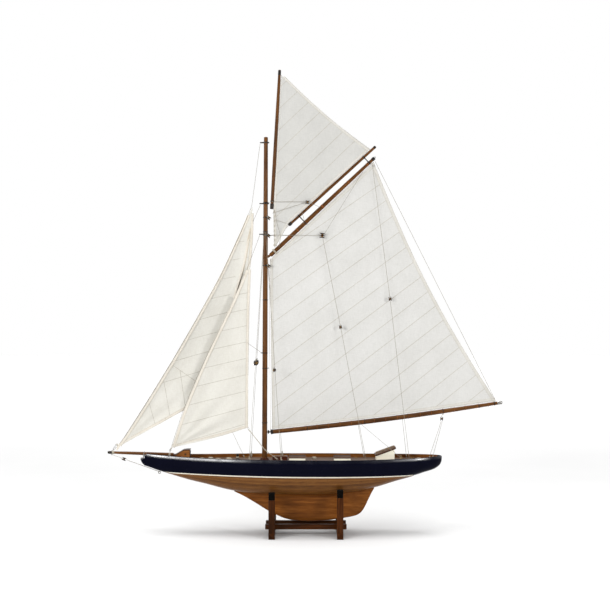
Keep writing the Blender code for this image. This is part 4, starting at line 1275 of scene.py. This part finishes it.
def make_mast_fittings():
    bm = new_shape()
    ahead, behind, left, right = (-1, 0), (1, 0), (0, -1), (0, 1)
    for z, sides in ((504.0, (left, right)), (650.0, (left, right)), (713.0, (behind, left)),
                     (681.0, (behind,)), (643.0, (behind,)), (578.0, (behind, left)),
                     (357.0, (behind,)), (390.0, (ahead,)), (240.0, (left, right)),
                     (842.0, (left, right))):
        mast_eye(bm, z, sides)
    piece("mast_eyes", bm, ["iron"], "ship")
    for z in (681.0, 643.0, 578.0):
        make_block(f"mast_block_{z:.0f}", (mast_x(z) + mast_radius(z) + 2.6, -6.6, z - 1.5),
                   (-0.8, 0.2, 0.6), 4.9, "ship")
    bm = new_shape()
    base = deck_top(MAST_FOOT[0]) + 0.3
    turned(bm, [(6.0, 0), (9.8, 0), (10, 0.5), (9.9, 2.2), (9.3, 2.6), (8.6, 2.8), (8.4, 4.2),
                (8.0, 4.7), (6.4, 4.8), (6.0, 4.4)], (MAST_FOOT[0], 0, base), sides=40)
    piece("mast_collar_turned", bm, ["red_wood"], "ship", ["mast_collar"])
    bm = new_shape()
    for i in range(8):
        a = math.tau * (i + 0.5) / 8
        place = (MAST_FOOT[0] + 9.0 * math.cos(a), 9.0 * math.sin(a), base + 2.4)
        turned(bm, [(0, 0), (0.5, 0), (0.45, 1.4), (0.2, 1.6), (0.22, 3.2), (0.42, 3.5),
                    (0.38, 4.8), (0, 5)], place, sides=10)
    piece("belaying_pins", bm, ["brass"], "ship")


def strap(bm, centre, run, radius, width, thick=0.5):
    """A flat metal strap round a spar."""
    turned(bm, [(radius - 0.3, -width / 2), (radius + thick, -width / 2),
                (radius + thick + 0.1, 0), (radius + thick, width / 2),
                (radius - 0.3, width / 2)], centre, run, 26)


def spar_point(ends, t):
    (x0, z0), (x1, z1) = ends
    return Vector((x0 + t * (x1 - x0), 0, z0 + t * (z1 - z0)))


def make_spar_fittings():
    bm = new_shape()
    run = spar_point(GAFF, 1) - spar_point(GAFF, 0)
    for t in (0.19, 0.26, 0.5, 0.75, 0.93):
        r = radius_at(GAFF_RADII, t)
        middle = spar_point(GAFF, t)
        step = run.normalized() * 0.9
        whipping(bm, middle - step, middle + step, r, 0.3)
    piece("gaff_seizings", bm, ["orange_thread"], "main_rig")

    bm = new_shape()
    yard_run = spar_point(JACKYARD, 1) - spar_point(JACKYARD, 0)
    for gaff_t in (0.336, 0.95):
        low = spar_point(GAFF, gaff_t)
        offset = low - spar_point(JACKYARD, 0)
        yard_t = offset.dot(run) / yard_run.dot(run)
        high = spar_point(JACKYARD, yard_t)
        strap(bm, low, run, radius_at(GAFF_RADII, gaff_t), 2.6)
        strap(bm, high, yard_run, radius_at(JACKYARD_RADII, yard_t), 2.6)
        link = (high - low).normalized()
        ends = (low + link * (radius_at(GAFF_RADII, gaff_t) + 0.2),
                high - link * (radius_at(JACKYARD_RADII, yard_t) + 0.2))
        tube(bm, ends, 1.1, 8)
    start = spar_point(JACKYARD, 0)
    along_yard = (spar_point(JACKYARD, 1) - start).normalized()
    turned(bm, [(0, -3.2), (1.6, -3.0), (3.3, -1.4), (3.6, 0), (3.5, 5.0), (2.7, 5.2)],
           start, along_yard, 24)
    hoop(bm, start + Vector((1.5, 0, 7.5)), (0, 1, 0), 1.7, 0.45)
    start = spar_point(TOPSAIL_YARD, 0)
    along_yard = (spar_point(TOPSAIL_YARD, 1) - start).normalized()
    turned(bm, [(0, -1.0), (3.0, -0.9), (3.9, 0), (4.1, 10.5), (3.3, 11)], start, along_yard, 24)
    strap(bm, start + along_yard * 16, along_yard, 3.6, 2.4)
    end = spar_point(GAFF, 1)
    turned(bm, [(3.0, -6.5), (3.7, -6.3), (3.8, -0.4), (3.0, 0.4), (0, 0.6)], end, run, 24)
    hoop(bm, end + run.normalized() * 2.0, (0, 1, 0), 1.4, 0.4)
    piece("gaff_and_yard_iron", bm, ["iron"], "main_rig")

    bm = new_shape()
    jaw = spar_point(GAFF, 0)
    for side in (-1, 1):
        rings = []
        for x, z, wide, tall in ((-13.5, -5.5, 0.7, 1.4), (-9, -3.6, 0.9, 2.2),
                                 (-3, -1.4, 1.1, 3.0), (3.5, 3.0, 1.2, 3.2), (9, 8.2, 0.9, 2.4),
                                 (14, 13, 0.5, 1.4)):
            y = side * (6.6 if x < -2 else 6.6 - (x + 2) * 0.14)
            centre = Vector((jaw.x + x, y, jaw.z + z))
            rings.append([centre + Vector((tall * 0.25 * math.sin(a), wide * math.cos(a),
                                           tall * math.sin(a)))
                          for a in (math.tau * i / 12 for i in range(12))])
        loft(bm, rings)
    piece("gaff_jaws", bm, ["spar_x"], "main_rig")
    bm = new_shape()
    start = jaw + run.normalized() * 11
    whipping(bm, start, start + run.normalized() * 3.6, 6.0, 0.36)
    piece("gaff_jaw_seizing", bm, ["pale_thread"], "main_rig")

    bm = new_shape()
    x, z = BOOM[0]
    turned(bm, [(4.2, -0.2), (5.0, 0), (5.1, 0.6), (5.1, 4.6), (4.9, 5.2), (4.4, 5.4)],
           (x - 0.2, 0, z), (1, 0, 0.12), 28)
    slab(bm, (x - 7.0, -1.5, z - 1.4), (x - 0.4, 1.5, z + 1.4), 0, 0.5)
    for y in (-2.3, 1.3):
        slab(bm, (x - 7.2, y, z - 2.8), (x - 3.4, y + 1.0, z + 2.8), 0, 0.35)
    turned(bm, [(0, -4.0), (0.9, -4.0), (0.9, 4.0), (0, 4.2)], (x - 5.3, 0, z), sides=12)
    piece("gooseneck_hinge", bm, ["iron"], "main_rig", ["gooseneck"])
    bm = new_shape()
    (x, z), r = BOOM[1], BOOM_RADII[-1]
    turned(bm, [(0, 6.2), (1.9, 6.0), (3.4, 4.6), (3.7, 3.6), (3.7, 0), (r + 0.1, 0),
                (r + 0.5, -0.3), (r + 0.5, -5), (r - 0.2, -5.2)][::-1], (x + 0.3, 0, z),
           (1, 0, 0.1), 28)
    piece("boom_cap_turned", bm, ["steel"], "main_rig", ["boom_cap"])
    bm = new_shape()
    for t in (0.753, 0.91, 0.978):
        x, z = boom_middle(t)
        strap(bm, (x, 0, z), (1, 0, 0.12), radius_at(BOOM_RADII, t), 1.8)
    x, z = boom_middle(0.753)
    hoop(bm, (x, 0, z - radius_at(BOOM_RADII, 0.753) - 1.4), (0, 1, 0), 1.3, 0.36)
    x, z = boom_middle(0.978)
    hoop(bm, (x, 0, z + 4.6), (0, 1, 0), 1.2, 0.36)
    for t in (0.16, 0.41, 0.6):
        x, z = boom_middle(t)
        strap(bm, (x, 0, z), (1, 0, 0.12), radius_at(BOOM_RADII, t), 1.2, 0.3)
    piece("boom_bands", bm, ["iron"], "main_rig")
    line("mainsheet_strop", [(294, 0, 253), (296, 0, 259.5)], "main_rig", "pale_thread", 0.45)


def make_sail_lashings():
    """Lacing and corner lashings that hold the sails to their spars."""
    bm = new_shape()
    for t in even_steps(0.05, 0.95, 0.05):
        x, z = boom_middle(t)
        r = radius_at(BOOM_RADII, t) + 0.35
        points = [(x + 1.6 * i / 24, r * math.sin(math.tau * i / 24),
                   z + r * math.cos(math.tau * i / 24) + (1.6 if i in (0, 24) else 0))
                  for i in range(25)]
        tube(bm, points, 0.26, 5)
    run = (spar_point(GAFF, 1) - spar_point(GAFF, 0)).normalized()
    turn = run.to_track_quat("Z", "Y")
    for t in even_steps(0.12, 0.94, 0.055):
        middle, r = spar_point(GAFF, t), radius_at(GAFF_RADII, t) + 0.35
        points = [middle + turn @ Vector((r * math.cos(a), r * math.sin(a), 1.4 * a / math.tau))
                  for a in (math.tau * i / 24 for i in range(25))]
        tube(bm, points, 0.26, 5)
    piece("sail_robands", bm, ["orange_thread"], "main_rig")

    bm = new_shape()
    for i, t in enumerate(even_steps(0.0, 1.0, 0.14)):
        place = Vector((-66.4, 0, 622)).lerp(Vector((-67.4, 0, 694)), t)
        for lean in (-2.4, 2.4):
            tube(bm, [place + Vector((-0.6, -1.1, -lean)), place + Vector((2.8, -1.2, lean))],
                 0.34, 5)
    piece("topsail_tack_lacing", bm, ["pale_thread"], "main_rig")

    bm = new_shape()
    corners = (((-402, 0, 188.5), (-404.8, 0, 195.0)), ((-290, 0, 180.5), (-287, 0, 186.5)))
    for place, other in corners:
        hoop(bm, place, (0, 1, 0), 1.9, 0.5, 1)
        whipping(bm, other, Vector(other).lerp(Vector(place), 0.7), 0.7, 0.34, 0)
    chain = [(-414.6, 0, 179.2), (-411.8, 0, 183.4), (-409.2, 0, 187.6), (-406.6, 0, 191.8)]
    for i, place in enumerate(chain):
        hoop(bm, place, (0.55, 0.83, -0.2) if i % 2 else (0.55, -0.83, -0.2), 1.6, 0.45, 1)
    hoop(bm, (-195.4, JIB_CLEW_Y, 299.5), (0, 1, 0), 2.0, 0.5, 1)
    hoop(bm, (-121.8, -0.8, 227.4), (0, 1, 0), 1.8, 0.45, 1)
    whipping(bm, (-195.2, JIB_CLEW_Y + 1.2, 297.4), (-193.4, JIB_CLEW_Y + 1.4, 293.2), 0.5, 0.34, 0)
    whipping(bm, (-121, -1.5, 225.4), (-118.6, -2.4, 221.8), 0.5, 0.34, 0)
    patch = [((-399.0, 0, 193.6), 3.4), ((-402.0, 0, 187.0), 2.6), ((-404.0, 0, 182.2), 1.4),
             ((-404.4, 0, 179.8), 0.5)]
    rings = []
    for (x, _, z), half in patch:
        rings.append([(x - half, -0.5, z), (x + half, -0.5, z - 1), (x + half, 0.5, z - 1),
                      (x - half, 0.5, z)])
    loft(bm, rings, 2)
    knot = [(-300, -0.6 + 0.5 * math.cos(i), 249.5 + 1.8 * math.sin(i * 0.9) - 0.3 * i)
            for i in range(10)]
    tube(bm, rounded_line(knot), 0.35, 5, 0)
    piece("headsail_lashings", bm, ["pale_thread", "steel", "jib_hem"], "ship")


# ---------------------------------------------------------------- bow and deck

def make_bow():
    bm = new_shape()
    outline = [(-345.2, 148.6), (-349.0, 152.4), (-352.3, 157.8), (-353.5, 161.6),
               (-353.2, 164.2), (-351.4, 165.3), (-348.4, 164.6), (-345.2, 163.6)]
    rings = []
    for y, grow in ((-2.5, 0.86), (-2.1, 0.96), (0, 1.0), (2.1, 0.96), (2.5, 0.86)):
        rings.append([(-348.5 + (x + 348.5) * grow, y, 158 + (z - 158) * grow)
                      for x, z in outline])
    loft(bm, rings)
    piece("stem_head_rounded", bm, ["navy"], "ship", ["stem_head"], 60)
    bm = new_shape()
    hook = [(-343.6, 0, 173.9), (-346.2, 0, 173.2), (-347.2, 0, 170.4), (-347.4, 0, 167.0),
            (-348.0, 0, 163.4), (-350.6, 0, 161.2), (-352.2, 0, 163.0)]
    for y in (-1.7, 1.7):
        tube(bm, [p + Vector((0, y, 0)) for p in rounded_line(hook)], 0.85, 8)
    hoop(bm, (-345.6, 0, 173.7), (-1, 0, 0.03), 4.1, 0.7)
    turned(bm, [(0, -2.6), (0.8, -2.6), (0.8, 2.6), (0, 2.7)], (-347.6, 0, 166.0), (0, 1, 0), 12)
    piece("gammon_iron", bm, ["steel"], "ship", ["stem_iron"])
    bm = new_shape()
    x, z = BOWSPRIT[1]
    turned(bm, [(2.2, 0.0), (3.1, 0.2), (3.15, 6.6), (2.7, 8.0), (1.8, 8.9), (0, 9.0)],
           (x - 0.2, 0, z), (-1, 0, 0.03), 24)
    piece("bowsprit_cap_turned", bm, ["iron"], "ship", ["bowsprit_cap"])
    bm = new_shape()
    whipping(bm, (x + 0.4, 0, z), (x + 5.2, 0, z - 0.1), 2.7, 0.4)
    whipping(bm, (-292.6, 0, 171.9), (-288.6, 0, 171.8), 3.5, 0.36)
    piece("bowsprit_whippings", bm, ["pale_thread"], "ship")
    bm = new_shape()
    hoop(bm, (-313.0, 0, 132.9), (0, 1, 0), 2.2, 0.85)
    turned(bm, [(0, -1.5), (0.9, -1.4), (0.8, 0.6), (0, 0.8)], (-311.6, 0, 135.6), (-0.4, 0, 1), 12)
    hoop(bm, (-415.5, 0, 171.9), (0, 1, 0), 1.3, 0.4)
    piece("bow_eyes", bm, ["steel"], "ship")


def fitted(outline, half):
    """Rings across a deck fitting with one side view, a little smaller at its two sides."""
    middle = sum((Vector(p) for p in outline), Vector((0, 0))) / len(outline)
    corner = 0.6
    rings = []
    for y, shrink in ((-half, corner), (-half + corner, 0), (half - corner, 0), (half, corner)):
        ring = []
        for p in outline:
            out = Vector(p) - middle
            ring.append((*(middle + out * max(0.0, 1 - shrink / out.length)), y))
        rings.append([(x, y, z) for x, z, y in ring])
    return rings


def make_scuttle():
    low = deck_top(-279) + 0.3
    bm = new_shape()
    outline = [(-279, low), (-247.2, low), (-247.2, 182.0), (-250, 182.3), (-260, 182.0),
               (-268, 177.2), (-279, 171.6)]
    loft(bm, fitted(outline, 10.4))
    rings = []
    for x, z in ((-280.2, 171.0), (-274, 174.3), (-267.4, 178.2), (-260.6, 182.3), (-254, 182.9),
                 (-246.2, 183.2)):
        ring = []
        for y, dz in ((-11.4, -0.5), (-11.6, 0.2), (-11.0, 1.0), (-5, 1.5), (0, 1.7), (5, 1.5),
                      (11.0, 1.0), (11.6, 0.2), (11.4, -0.5)):
            ring.append((x, y, z + dz - 0.6))
        rings.append(ring)
    loft(bm, rings, 1)
    slab(bm, (-247.6, -6.4, low + 0.4), (-246.2, 6.4, 181.0), 2, 0.3)
    for z in even_steps(low + 4, 178.5, 2.4):
        slab(bm, (-246.5, -4.8, z), (-245.7, 4.8, z + 1.1), 2, 0.2)
    for side in (-1, 1):
        turned(bm, [(0, 0), (2.1, 0), (2.2, 0.5), (1.7, 0.9), (1.4, 0.5), (0, 0.5)],
               (-256, side * 10.3, 173.4), (0, side, 0), 24, 1)
    piece("fore_scuttle_built", bm, ["cabin", "roof", "block"], "ship",
          ["fore_scuttle"], 35)


def make_hatch():
    low = deck_top(-70) + 0.4
    bm = new_shape()
    slab(bm, (-69.6, -11.6, low), (-37.9, 11.6, low + 6.2), 0, 0.5)
    slab(bm, (-70.0, -12.0, low + 6.2), (-37.5, 12.0, low + 8.0), 0, 0.7, 3)
    for i in range(5):
        x = -67.6 + i * 5.75
        slab(bm, (x, -10.4, low + 7.6), (x + 5.2, 10.4, low + 8.9), 0, 0.5)
    for y in (-7.6, 7.6):
        slab(bm, (-66.5, y - 0.7, low + 8.5), (-41, y + 0.7, low + 9.3), 1, 0.25)
    piece("deck_hatch_built", bm, ["red_wood", "brass"], "ship", ["deck_hatch"], 35)


def make_skylight(name, x0, x1):
    low = max(deck_top(x0), deck_top(x1)) + 0.3
    bm = new_shape()
    slab(bm, (x0 + 0.6, -16.8, low), (x1 - 0.6, 16.8, low + 5.7), 0, 0.4)
    for x in (x0 + 0.6, x1 - 2.1):
        loft(bm, [[(x + dx, -16.0, low + 5.2), (x + dx, 16.0, low + 5.2), (x + dx, 0, low + 10.2)]
                  for dx in (0, 1.5)], 0)
    for side in (-1, 1):
        eave, ridge = Vector((0, side * 17.0, low + 5.6)), Vector((0, side * 0.3, low + 10.4))
        slope = (ridge - eave).normalized()
        up = Vector((0, -side * slope.z, abs(slope.y)))

        def plate(start, end, near, far, under, over, material):
            a, b = eave + slope * near, eave + slope * far
            rings = [[Vector((x, 0, 0)) + a + up * under, Vector((x, 0, 0)) + b + up * under,
                      Vector((x, 0, 0)) + b + up * over, Vector((x, 0, 0)) + a + up * over]
                     for x in (start, end)]
            loft(bm, rings, material)

        length = (ridge - eave).length
        plate(x0, x1, 0, length, 0.0, 0.7, 1)
        panes = 4
        wide = (x1 - x0 - 3) / panes
        for i in range(panes):
            start = x0 + 1.5 + i * wide
            plate(start + 0.6, start + wide - 0.6, 1.8, length - 2.2, 0.6, 1.0, 1)
    slab(bm, (x0 - 0.2, -1.3, low + 10.2), (x1 + 0.2, 1.3, low + 11.4), 1, 0.4)
    piece(name + "_built", bm, ["cream", "roof"], "ship", [name], 30)


def make_companion():
    low = max(deck_top(152.5), deck_top(191.5)) + 0.3
    bm = new_shape()
    loft(bm, fitted([(152.5, low), (191.3, low), (191.3, 184.3), (152.5, 170.3)], 17.6))
    slab(bm, (190.9, -7.5, low + 0.3), (192.0, 7.5, 181.5), 1, 0.3)
    for z in even_steps(low + 5, 178, 2.6):
        slab(bm, (191.7, -6, z), (192.5, 6, z + 1.3), 1, 0.2)
    piece("companion_house_built", bm, ["cream", "cabin"], "ship",
          ["companion_house"], 35)
    bm = new_shape()
    rings = []
    for x, z in ((150, 171.2), (151, 171.0), (172, 178.6), (193, 186.1), (194, 186.7)):
        thin = 0.5 if x in (150, 194) else 0.0
        ring = []
        for y, dz in ((-19.2, 0.4), (-20, 1.2), (-20, 2.2), (-19, 3.2), (-9, 4.0), (0, 4.3),
                      (9, 4.0), (19, 3.2), (20, 2.2), (20, 1.2), (19.2, 0.4)):
            ring.append((x, y, z - 0.9 + dz * (1 - thin * 0.4) + thin * 0.4))
        rings.append(ring)
    loft(bm, rings)
    for y in (-8.5, 8.5):
        start, end = Vector((153, y, 175.6)), Vector((191.5, y, 189.3))
        for k in (0.0, 0.33, 0.66, 1.0):
            foot = start.lerp(end, k)
            turned(bm, [(0, -1), (0.7, -1), (0.45, 0.6), (0, 0.7)], foot, (-0.33, 0, 0.94), 10, 1)
        tube(bm, [start + Vector((0, 0, 0.5)), end + Vector((0, 0, 0.5))], 0.55, 8, 1)
    piece("companion_roof_built", bm, ["roof", "brass"], "ship",
          ["companion_roof"], 40)


def make_winch(bm, x, y, size=1.0):
    base = (x, y, deck_top(x) + 0.3)
    profile = [(0, 0), (4.4, 0), (4.5, 0.8), (4.2, 1.6), (2.6, 2.6), (2.1, 4.6), (2.2, 7.6),
               (3.2, 9.6), (3.5, 11), (3.4, 11.8), (2.6, 12.2), (1.2, 12.4), (1.0, 13), (0, 13)]
    turned(bm, [(r * size, h * size) for r, h in profile], base, sides=28)
    whipping(bm, Vector(base) + Vector((0, 0, 4.2 * size)),
             Vector(base) + Vector((0, 0, 7.4 * size)), 2.2 * size, 0.42 * size, 1)


def coil(bm, x, y, radius, turns, squash=1.0):
    """A flat spiral of rope with a second layer on its outer turns."""
    points = []
    low = deck_top(x) + 0.9
    shares = ((0.3, 1.0), (0.45, 0.95), (0.55, 0.85))
    for layer, (inner, outer) in enumerate((a * radius, b * radius) for a, b in shares):
        steps = [i / 18 for i in range(turns * 18)]
        steps = steps[::-1] if layer == 1 else steps
        for t in steps:
            r = inner + (outer - inner) * t / turns
            a = math.tau * t
            wobble = 0.12 * math.sin(a * 2.3 + layer)
            points.append((x + r * math.cos(a), y + r * squash * math.sin(a),
                           low + layer * 1.35 + wobble))
    tube(bm, points, 0.68, 6)


def make_deck_gear():
    bm = new_shape()
    make_winch(bm, -145.0, 0.0)
    piece("fore_winch_turned", bm, ["iron", "pale_thread"], "ship", ["fore_winch"])
    bm = new_shape()
    make_winch(bm, 207.0, -14.0, 0.6)
    make_winch(bm, 207.0, 14.0, 0.6)
    piece("sheet_winches", bm, ["brass", "pale_thread"], "ship")
    bm = new_shape()
    coil(bm, -222, -9, 7.0, 5)
    piece("rope_coil_wound", bm, ["pale_thread"], "ship", ["rope_coil"])
    bm = new_shape()
    for x, y, r in ((-203, 7, 5.5), (-186, -8, 6.0), (-164, 6, 5.2), (-160, -14, 4.6),
                    (20, 24, 5.0), (244, -4, 4.8)):
        coil(bm, x, y, r, 4, 0.85)
    piece("rope_coils", bm, ["pale_thread"], "ship")
    bm = new_shape()
    for x, y in ((-128, 30), (-128, -30), (-30, 38), (-30, -38), (112, 34), (112, -34),
                 (232, 16), (232, -16), (-270, 14), (-270, -14)):
        z = deck_top(x) + 0.2
        for dx in (-1.5, 1.5):
            turned(bm, [(0, 0), (0.9, 0), (0.55, 1.0), (0.5, 2.2), (0, 2.4)], (x + dx, y, z),
                   sides=10)
        horns = [(x - 4.6, y, z + 3.1), (x - 3.2, y, z + 2.6), (x - 1.5, y, z + 2.3),
                 (x + 1.5, y, z + 2.3), (x + 3.2, y, z + 2.6), (x + 4.6, y, z + 3.1)]
        tube(bm, horns, 0.5, 8, radii=[0.28, 0.5, 0.66, 0.66, 0.5, 0.28])
    piece("deck_cleats", bm, ["brass"], "ship")


# ---------------------------------------------------------------- stand

def make_stand():
    for label in ("fore", "aft"):
        low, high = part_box(f"stand_frame_{label}")
        low, high = low / MM, high / MM
        bm = new_shape()
        for side in (-1, 1):
            y0, y1 = sorted((side * POST_INNER, side * POST_OUTER))
            slab(bm, (low.x, y0, 0.0), (high.x, y1, high.z), 0, 0.9, 3)
            slab(bm, (low.x + 2.4, y1 - 0.2 if side > 0 else y0 - 0.5, 7.2),
                 (high.x - 2.4, y1 + 0.5 if side > 0 else y0 + 0.2, 12.8), 1, 0.3)
        slab(bm, (low.x + 0.2, -POST_INNER - 0.3, CROSSBAR_Z[0]),
             (high.x - 0.2, POST_INNER + 0.3, CROSSBAR_Z[1]), 1, 0.9, 3)
        piece(f"stand_frame_{label}_built", bm, ["stand_z", "stand_y"], "stand",
              [f"stand_frame_{label}"], 30)
    for label in ("port", "starboard"):
        low, high = (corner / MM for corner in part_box(f"stand_rail_{label}"))
        bm = new_shape()
        slab(bm, low, high, 0, 1.2, 3)
        middle = (low.y + high.y) / 2
        for x in FRAME_X:
            turned(bm, [(0, -0.3), (1.9, -0.3), (1.9, 0.2), (1.2, 0.55), (0, 0.6)],
                   (x, middle, high.z), sides=20, material=1)
        piece(f"stand_rail_{label}_built", bm, ["stand_x", "stand_y"], "stand",
              [f"stand_rail_{label}"], 30)
    for end in ("fore", "aft"):
        for label, side in (("port", -1), ("starboard", 1)):
            make_pad(f"stand_pad_{end}_{label}", side)


def make_pad(node_name, side):
    """A felt pad: its inner top edge follows the hull's side, and its rims are rounded."""
    low, high = (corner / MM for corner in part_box(node_name))
    outer = max(abs(low.y), abs(high.y))
    outline = [(PAD_INNER, low.z), (outer, low.z), (outer, high.z - 5), (outer - 0.9, high.z - 2.6)]
    lean = []
    for i in range(9):
        z = low.z + 4.6 + (high.z - low.z - 4.6) * i / 8
        half = max(hull_half(low.x, z), hull_half(high.x, z)) + 0.35
        lean.append((max(half, PAD_INNER), z))
    outline += [(max(lean[-1][0] + 3.0, outer - 5), high.z)] + list(reversed(lean))
    centre = sum((Vector(p) for p in outline), Vector((0, 0))) / len(outline)
    rings = []
    for x, grow in ((low.x, 0.93), (low.x + 0.3, 0.98), (low.x + 1.0, 1.0), (high.x - 1.0, 1.0),
                    (high.x - 0.3, 0.98), (high.x, 0.93)):
        ring = []
        for p in outline:
            y, z = centre + (Vector(p) - centre) * grow
            ring.append((x, side * y, z))
        rings.append(ring)
    bm = new_shape()
    loft(bm, rings)
    pad = piece(node_name + "_felt", bm, ["felt"], "stand", [node_name], 60)


# ---------------------------------------------------------------- stage

def make_stage():
    bm = new_shape()
    turned(bm, [(0, -10), (9000, -10), (9000, 0), (0, 0)], sides=96)
    mesh = bpy.data.meshes.new("floor")
    bm.to_mesh(mesh)
    bm.free()
    floor = bpy.data.objects.new("floor", mesh)
    material, tree, shader = new_material("floor", 0.9, 0.0)
    mottled = noise(tree, place_on(tree), 3.0)
    pale = ramp(tree, mottled, [(0.3, srgb(214, 214, 214)), (0.7, srgb(217, 217, 217))])
    depth = node(tree, "SeparateXYZ", {0: place_on(tree)}).outputs[1]
    tree.links.new(mixed(tree, fade(tree, depth, 0.8, 3.0), pale, srgb(229, 229, 229)),
                   shader.inputs["Base Color"])
    mesh.materials.append(material)
    bpy.context.scene.collection.objects.link(floor)

    world = bpy.data.worlds.new("studio")
    world.use_nodes = True
    sky = world.node_tree
    parts = node(sky, "SeparateXYZ", {0: place_on(sky, source="Generated")}).outputs
    backdrop = sky.nodes["Background"]
    backdrop.inputs[0].default_value = (1, 1, 1, 1)
    seen = node(sky, "LightPath", {}).outputs["Is Camera Ray"]
    glow = calc(sky, "MAXIMUM", fade(sky, parts[1], -0.6, 0.15, 0.12, 1.0), seen)
    sky.links.new(glow, backdrop.inputs[1])
    bpy.context.scene.world = world
    lamps = (("key_left", (-1.75, -1.75, 0.95), 18.0, 0.32, 0.32),
             ("key_right", (1.75, -1.75, 0.95), 18.0, 0.32, 0.32),
             ("strip_left", (-1.2, -1.9, 0.85), 14.0, 0.65, 0.4),
             ("strip_right", (1.6, -1.9, 0.85), 5.0, 0.9, 0.4))
    for name, place, power, wide, tall in lamps:
        light = bpy.data.lights.new(name, "AREA")
        light.energy = power
        light.shape = "RECTANGLE"
        light.size, light.size_y = wide, tall
        lamp = bpy.data.objects.new(name, light)
        lamp.location = place
        aim = Vector((0, 0, min(place[2], 0.5))) - Vector(place)
        lamp.rotation_euler = aim.to_track_quat("-Z", "Y").to_euler()
        bpy.context.scene.collection.objects.link(lamp)
    light = bpy.data.lights.new("overhead", "SUN")
    light.energy = 2.1
    light.angle = math.radians(32)
    lamp = bpy.data.objects.new("overhead", light)
    lamp.rotation_euler = (math.radians(8), 0, 0)
    bpy.context.scene.collection.objects.link(lamp)

    camera = bpy.data.objects.new("camera", bpy.data.cameras.new("camera"))
    camera.location = (0, -2.45, 0.493)
    camera.rotation_euler = (math.pi / 2, 0, 0)
    camera.data.lens = 67.25
    bpy.context.scene.collection.objects.link(camera)
    bpy.context.scene.camera = camera
    bpy.context.scene.view_settings.view_transform = "Standard"


make_stage()
make_hull()
make_keel()
make_rail()
make_deck()
make_spars()
make_mainsail()
make_topsail()
make_headsails()
make_rigging()
make_mast_fittings()
make_spar_fittings()
make_sail_lashings()
make_bow()
make_scuttle()
make_hatch()
make_skylight("skylight_fore", -34.5, 1.5)
make_skylight("skylight_aft", 61.5, 98.0)
make_companion()
make_deck_gear()
make_stand()

for name, look in (("bulkhead_fore", "inner"), ("bulkhead_aft", "inner"), ("mast_step", "inner"),
                   ("mast_band_head", "iron"), ("mast_band_upper", "iron"),
                   ("mast_band_lower", "iron")):
    node_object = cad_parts[name]
    for material_slot in node_object.material_slots:
        material_slot.material = LOOKS[look]
